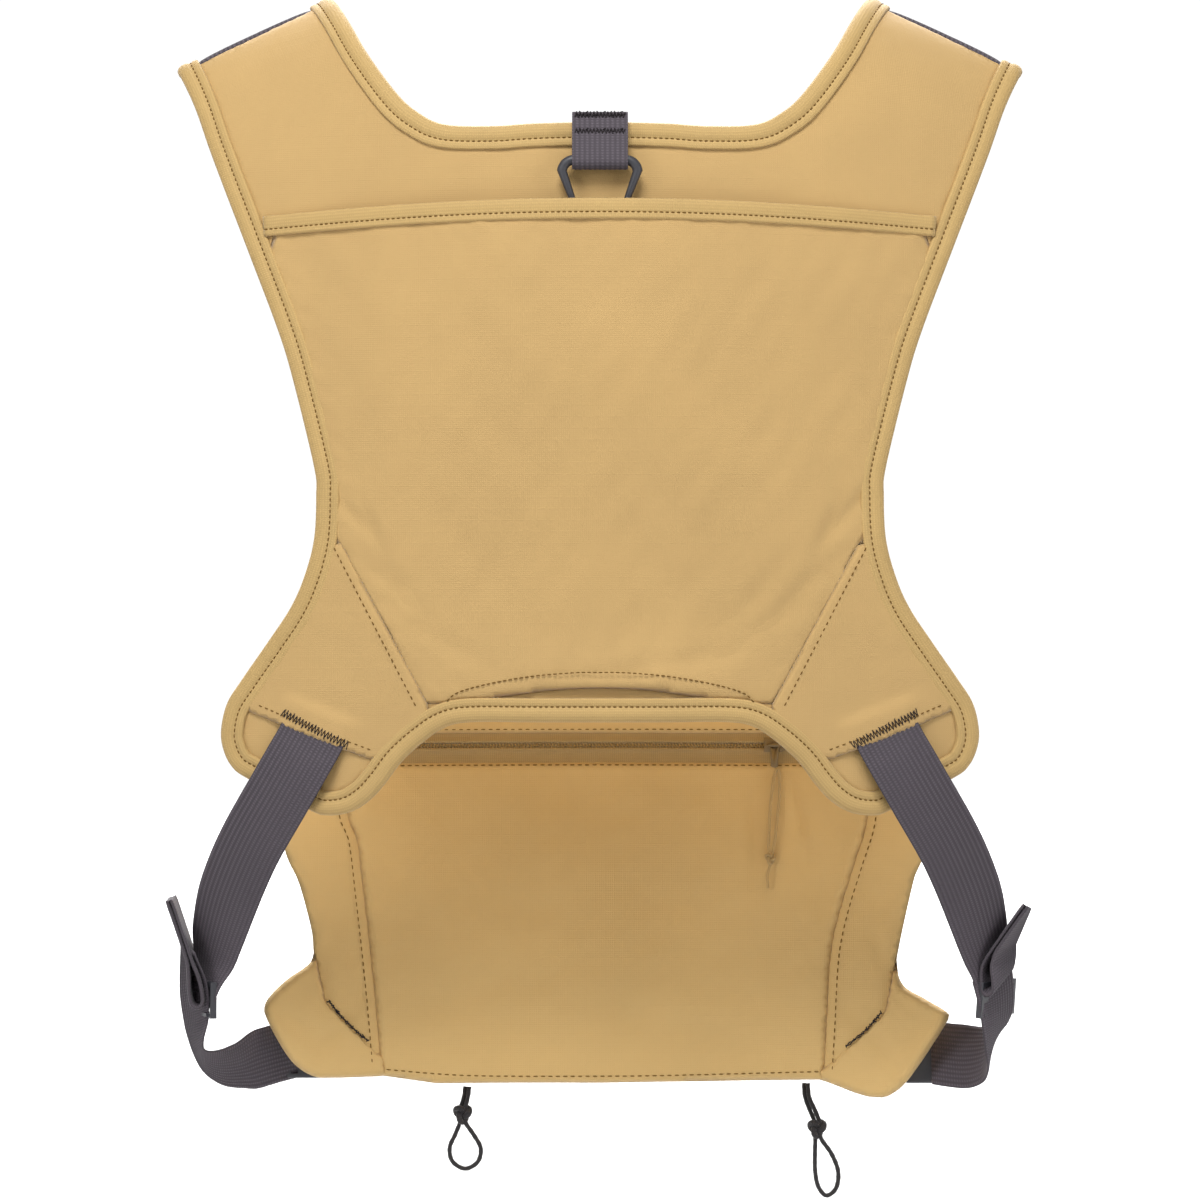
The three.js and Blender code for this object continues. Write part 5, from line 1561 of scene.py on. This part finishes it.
class VEST_OT_zips(bpy.types.Operator):
    """Coils, sliders and pulls of the three zips"""

    bl_idname = "vest.zips"
    bl_label = "Zips"

    def execute(self, context):
        coil = helix("back_coil", ZIP_MIDDLE - 0.3, 0.75, (-96.5, 89), "zip_coil", 1)
        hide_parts("back_zip_coil")
        slider = zip_slider("back_slider_cast", -1, "back_slider", seat(BACK_SLIDER_X, ZIP_MIDDLE, 2.8))
        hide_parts("back_zip_slider")
        wire = bent_ring("back_pull_wire", 2.3, 0.5,
                         [(lambda x, y, z: z > 0.01, (0, 0, -1.8), None),
                          (lambda x, y, z: z < -1.9, (0, 0, -8.2), None)], (28, 8))
        placed(wire, "slider_metal", seat(BACK_SLIDER_X, ZIP_MIDDLE, PULL_OUT), "back_pull", 60)
        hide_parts("back_zip_pull")
        for name, half, d, z, x in (("main", 88, PACK_FRONT, -300, 82),
                                    ("front", 70, POCKET_FRONT, -368, 62)):
            coil = helix(name + "_coil", z, d - 1.3, (-half, half), "zip_coil", -1)
            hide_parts(name + "_zip_coil")
            slider = zip_slider(name + "_slider_cast", 1, name + "_slider", seat(x, z, d - 2.4))
            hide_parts(name + "_zip_slider")
            loop = bent_ring(name + "_pull_loop", 2.4, 0.65,
                             [(lambda x, y, z: z < -0.1, (0, 0, -26), None),
                              (lambda x, y, z: z < -20, None, (1.7, 1, 1))], (32, 10))
            placed(loop, "tan_cord", seat(x, z, d - 2.4 - 1.5), name + "_pull", 60)
            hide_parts(name + "_zip_pull")
        return {"FINISHED"}


HEM_Y = 76.0
LOOP_LEFT = [(-65.3, -488.2), (-65.9, -493), (-67.4, -498), (-67.7, -501), (-67.8, -505), (-70, -511),
             (-72.9, -518), (-71.5, -524.5), (-65.4, -528), (-59.2, -524.5), (-57.8, -518),
             (-61.5, -511), (-65.4, -505), (-65.5, -501), (-65.2, -498), (-64, -493), (-63.4, -488.2)]
LOOP_RIGHT = [(98.9, -486.5), (99.4, -493), (101.9, -500), (103.8, -504.5), (104.2, -508),
              (104.4, -512.5), (104.2, -521), (104.4, -530), (106, -537), (109.6, -541), (114, -538),
              (115.5, -530), (112.4, -521), (106.8, -512.5), (106.5, -508), (106.1, -504.5),
              (103.9, -499), (101.3, -493), (100.7, -486.5)]


class VEST_OT_cords(bpy.types.Operator):
    """Hem cords with their knots, and the two-strand cord on the back zip's pull"""

    bl_idname = "vest.cords"
    bl_label = "Cords"

    def execute(self, context):
        width = context.scene.vest_sizes.cord_width
        for label, route, at, long in (("left", LOOP_LEFT, (-66.6, HEM_Y, -501.2), 0.092),
                                       ("right", LOOP_RIGHT, (105.2, HEM_Y, -508.2), 0.118)):
            points = [(x, HEM_Y + (0.7 if i < len(route) / 2 else -0.7), z)
                      for i, (x, z) in enumerate(route)]
            line = spline(points, np.linspace(0, 1, 90))
            body = "cord_" + label
            cord = braided("hem_cord_" + label, line, width / MM, "black_cord", body)
            lump = knot("hem_knot_" + label, at, (7.4, 4.6, 8.0), 3.0, "black_cord", body)
            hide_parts("cord_knot_" + label)
            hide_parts("cord_loop_" + label)
        wire_y = float(seat(BACK_SLIDER_X, ZIP_MIDDLE, PULL_OUT).translation.y / MM)
        long_strand = [(85.6, -333.6), (86.3, -336), (86.4, -345), (85.2, -358), (83.3, -372.6),
                       (82.0, -377), (81.6, -380.4), (80.6, -385), (80.9, -391)]
        short_strand = [(84.9, -333.6), (84.1, -336), (82.6, -345), (81.6, -358), (81.2, -372.6),
                        (81.8, -377.5)]
        lump = knot("pull_knot", (82, wire_y, -376.5), (4.6, 2.6, 5.0), 1.6, "tan_cord", "back_pull")
        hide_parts("back_pull_knot")
        for name, route, nodes, end, long in (
                ("pull_strand_long", long_strand, ("back_pull_strand_a", "back_pull_tail"), "bare", 0.058),
                ("pull_strand_short", short_strand, ("back_pull_strand_b",), "knot", 0.044)):
            line = spline([(x, wire_y, z) for x, z in route], np.linspace(0, 1, 60))
            cord = braided(name, line, 1.4, "tan_cord", "back_pull", step=0.4, sides=10)
            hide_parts(*nodes)
        return {"FINISHED"}


# ------------------------------------------------------------------ stage

CAMERA_AT = (0.0, -2.59, -0.2523)
LENS = 165.0


class VEST_OT_stage(bpy.types.Operator):
    """Pale floor and backdrop, soft lights and the camera"""

    bl_idname = "vest.stage"
    bl_label = "Stage"

    def execute(self, context):
        scene = context.scene
        self.paper("floor", "pale_paper", (0, 0, -0.62), 0, (60, 60), "ShaderNodeBsdfDiffuse",
                   {"Color": linear("B8B8B8"), "Roughness": 0.0})
        self.paper("lit_backdrop", "lit_paper", (0, 8, 1.6), math.pi / 2, (14, 5),
                   "ShaderNodeEmission", {"Color": linear("FFFFFF"), "Strength": 1.05})
        world = bpy.data.worlds.new("studio")
        world.use_nodes = True
        background = world.node_tree.nodes["Background"]
        background.inputs["Color"].default_value = (1, 1, 1, 1)
        background.inputs["Strength"].default_value = 0.26
        scene.world = world
        for name, at, aim, size, power in (
                ("top_softbox", (-0.2, -1.6, 1.65), (0, 0, -0.25), 1.1, 58),
                ("left_softbox", (-1.9, -1.8, 0.4), (0, 0, -0.25), 1.1, 14),
                ("right_softbox", (2.1, -1.5, 0.2), (0, 0, -0.25), 1.1, 13),
                ("rear_softbox", (0.4, 1.9, 0.9), (0, 0, -0.25), 1.6, 8),
                ("floor_softbox", (0, 4.5, 3.0), (0, 4.5, -0.6), 6, 1000)):
            self.softbox(name, at, aim, size, power)
        lens = bpy.data.cameras.new("camera")
        lens.lens = LENS
        lens.sensor_width = 36
        camera = bpy.data.objects.new("camera", lens)
        camera.location = CAMERA_AT
        camera.rotation_euler = (math.pi / 2, 0, 0)
        scene.collection.objects.link(camera)
        scene.camera = camera
        scene.view_settings.view_transform = "Standard"
        return {"FINISHED"}

    @staticmethod
    def paper(name, kind, at, tilt, size, shader, values):
        """A flat sheet of paper of the set, with the one shader that its finish needs."""
        bpy.ops.object.select_all(action="DESELECT")
        bpy.ops.mesh.primitive_plane_add(size=1, location=at, rotation=(tilt, 0, 0))
        sheet = bpy.context.object
        sheet.name = name
        sheet.scale = (*size, 1)
        bpy.ops.object.transform_apply(location=True, rotation=True, scale=True)
        material, tree = new_material(kind)
        face = add_node(tree, shader, values)
        add_node(tree, "ShaderNodeOutputMaterial", {"Surface": face.outputs[0]})
        sheet.data.materials.append(material)

    @staticmethod
    def softbox(name, at, aim, size, power):
        """A round lamp that faces a point."""
        light = bpy.data.lights.new(name, "AREA")
        light.shape = "DISK"
        light.size = size
        light.energy = power
        lamp = bpy.data.objects.new(name, light)
        lamp.location = at
        lamp.rotation_euler = (Vector(aim) - Vector(at)).to_track_quat("-Z", "Y").to_euler()
        bpy.context.scene.collection.objects.link(lamp)


class VEST_PT_panel(bpy.types.Panel):
    """Sidebar panel that lists the vest's pieces, sizes and colours"""

    bl_idname = "VEST_PT_panel"
    bl_label = "Fishing vest"
    bl_space_type = "VIEW_3D"
    bl_region_type = "UI"
    bl_category = "Vest"

    def draw(self, context):
        for group in (context.scene.vest_sizes, context.scene.vest_colours):
            box = self.layout.box()
            for key in group.__annotations__:
                box.prop(group, key)
        for operator in OPERATORS:
            self.layout.operator(operator.bl_idname)


OPERATORS = (VEST_OT_stage, VEST_OT_cords, VEST_OT_yoke, VEST_OT_stash_pocket, VEST_OT_wings,
             VEST_OT_net_ring, VEST_OT_shoulder_straps, VEST_OT_side_straps, VEST_OT_buckles,
             VEST_OT_pack_cloth, VEST_OT_pack_body, VEST_OT_zips)
CLASSES = (VestSizes, VestColours, *OPERATORS, VEST_PT_panel)


def register():
    for item in CLASSES:
        bpy.utils.register_class(item)
    bpy.types.Scene.vest_sizes = bpy.props.PointerProperty(type=VestSizes)
    bpy.types.Scene.vest_colours = bpy.props.PointerProperty(type=VestColours)


def unregister():
    del bpy.types.Scene.vest_sizes
    del bpy.types.Scene.vest_colours
    for item in reversed(CLASSES):
        bpy.utils.unregister_class(item)


def main():
    register()
    bpy.ops.vest.stage()
    bpy.ops.vest.cords()
    bpy.ops.vest.yoke()
    bpy.ops.vest.stash_pocket()
    bpy.ops.vest.wings()
    bpy.ops.vest.net_ring()
    bpy.ops.vest.shoulder_straps()
    bpy.ops.vest.side_straps()
    bpy.ops.vest.buckles()
    bpy.ops.vest.pack_cloth()
    bpy.ops.vest.pack_body()
    bpy.ops.vest.zips()


if __name__ == "__main__":
    main()
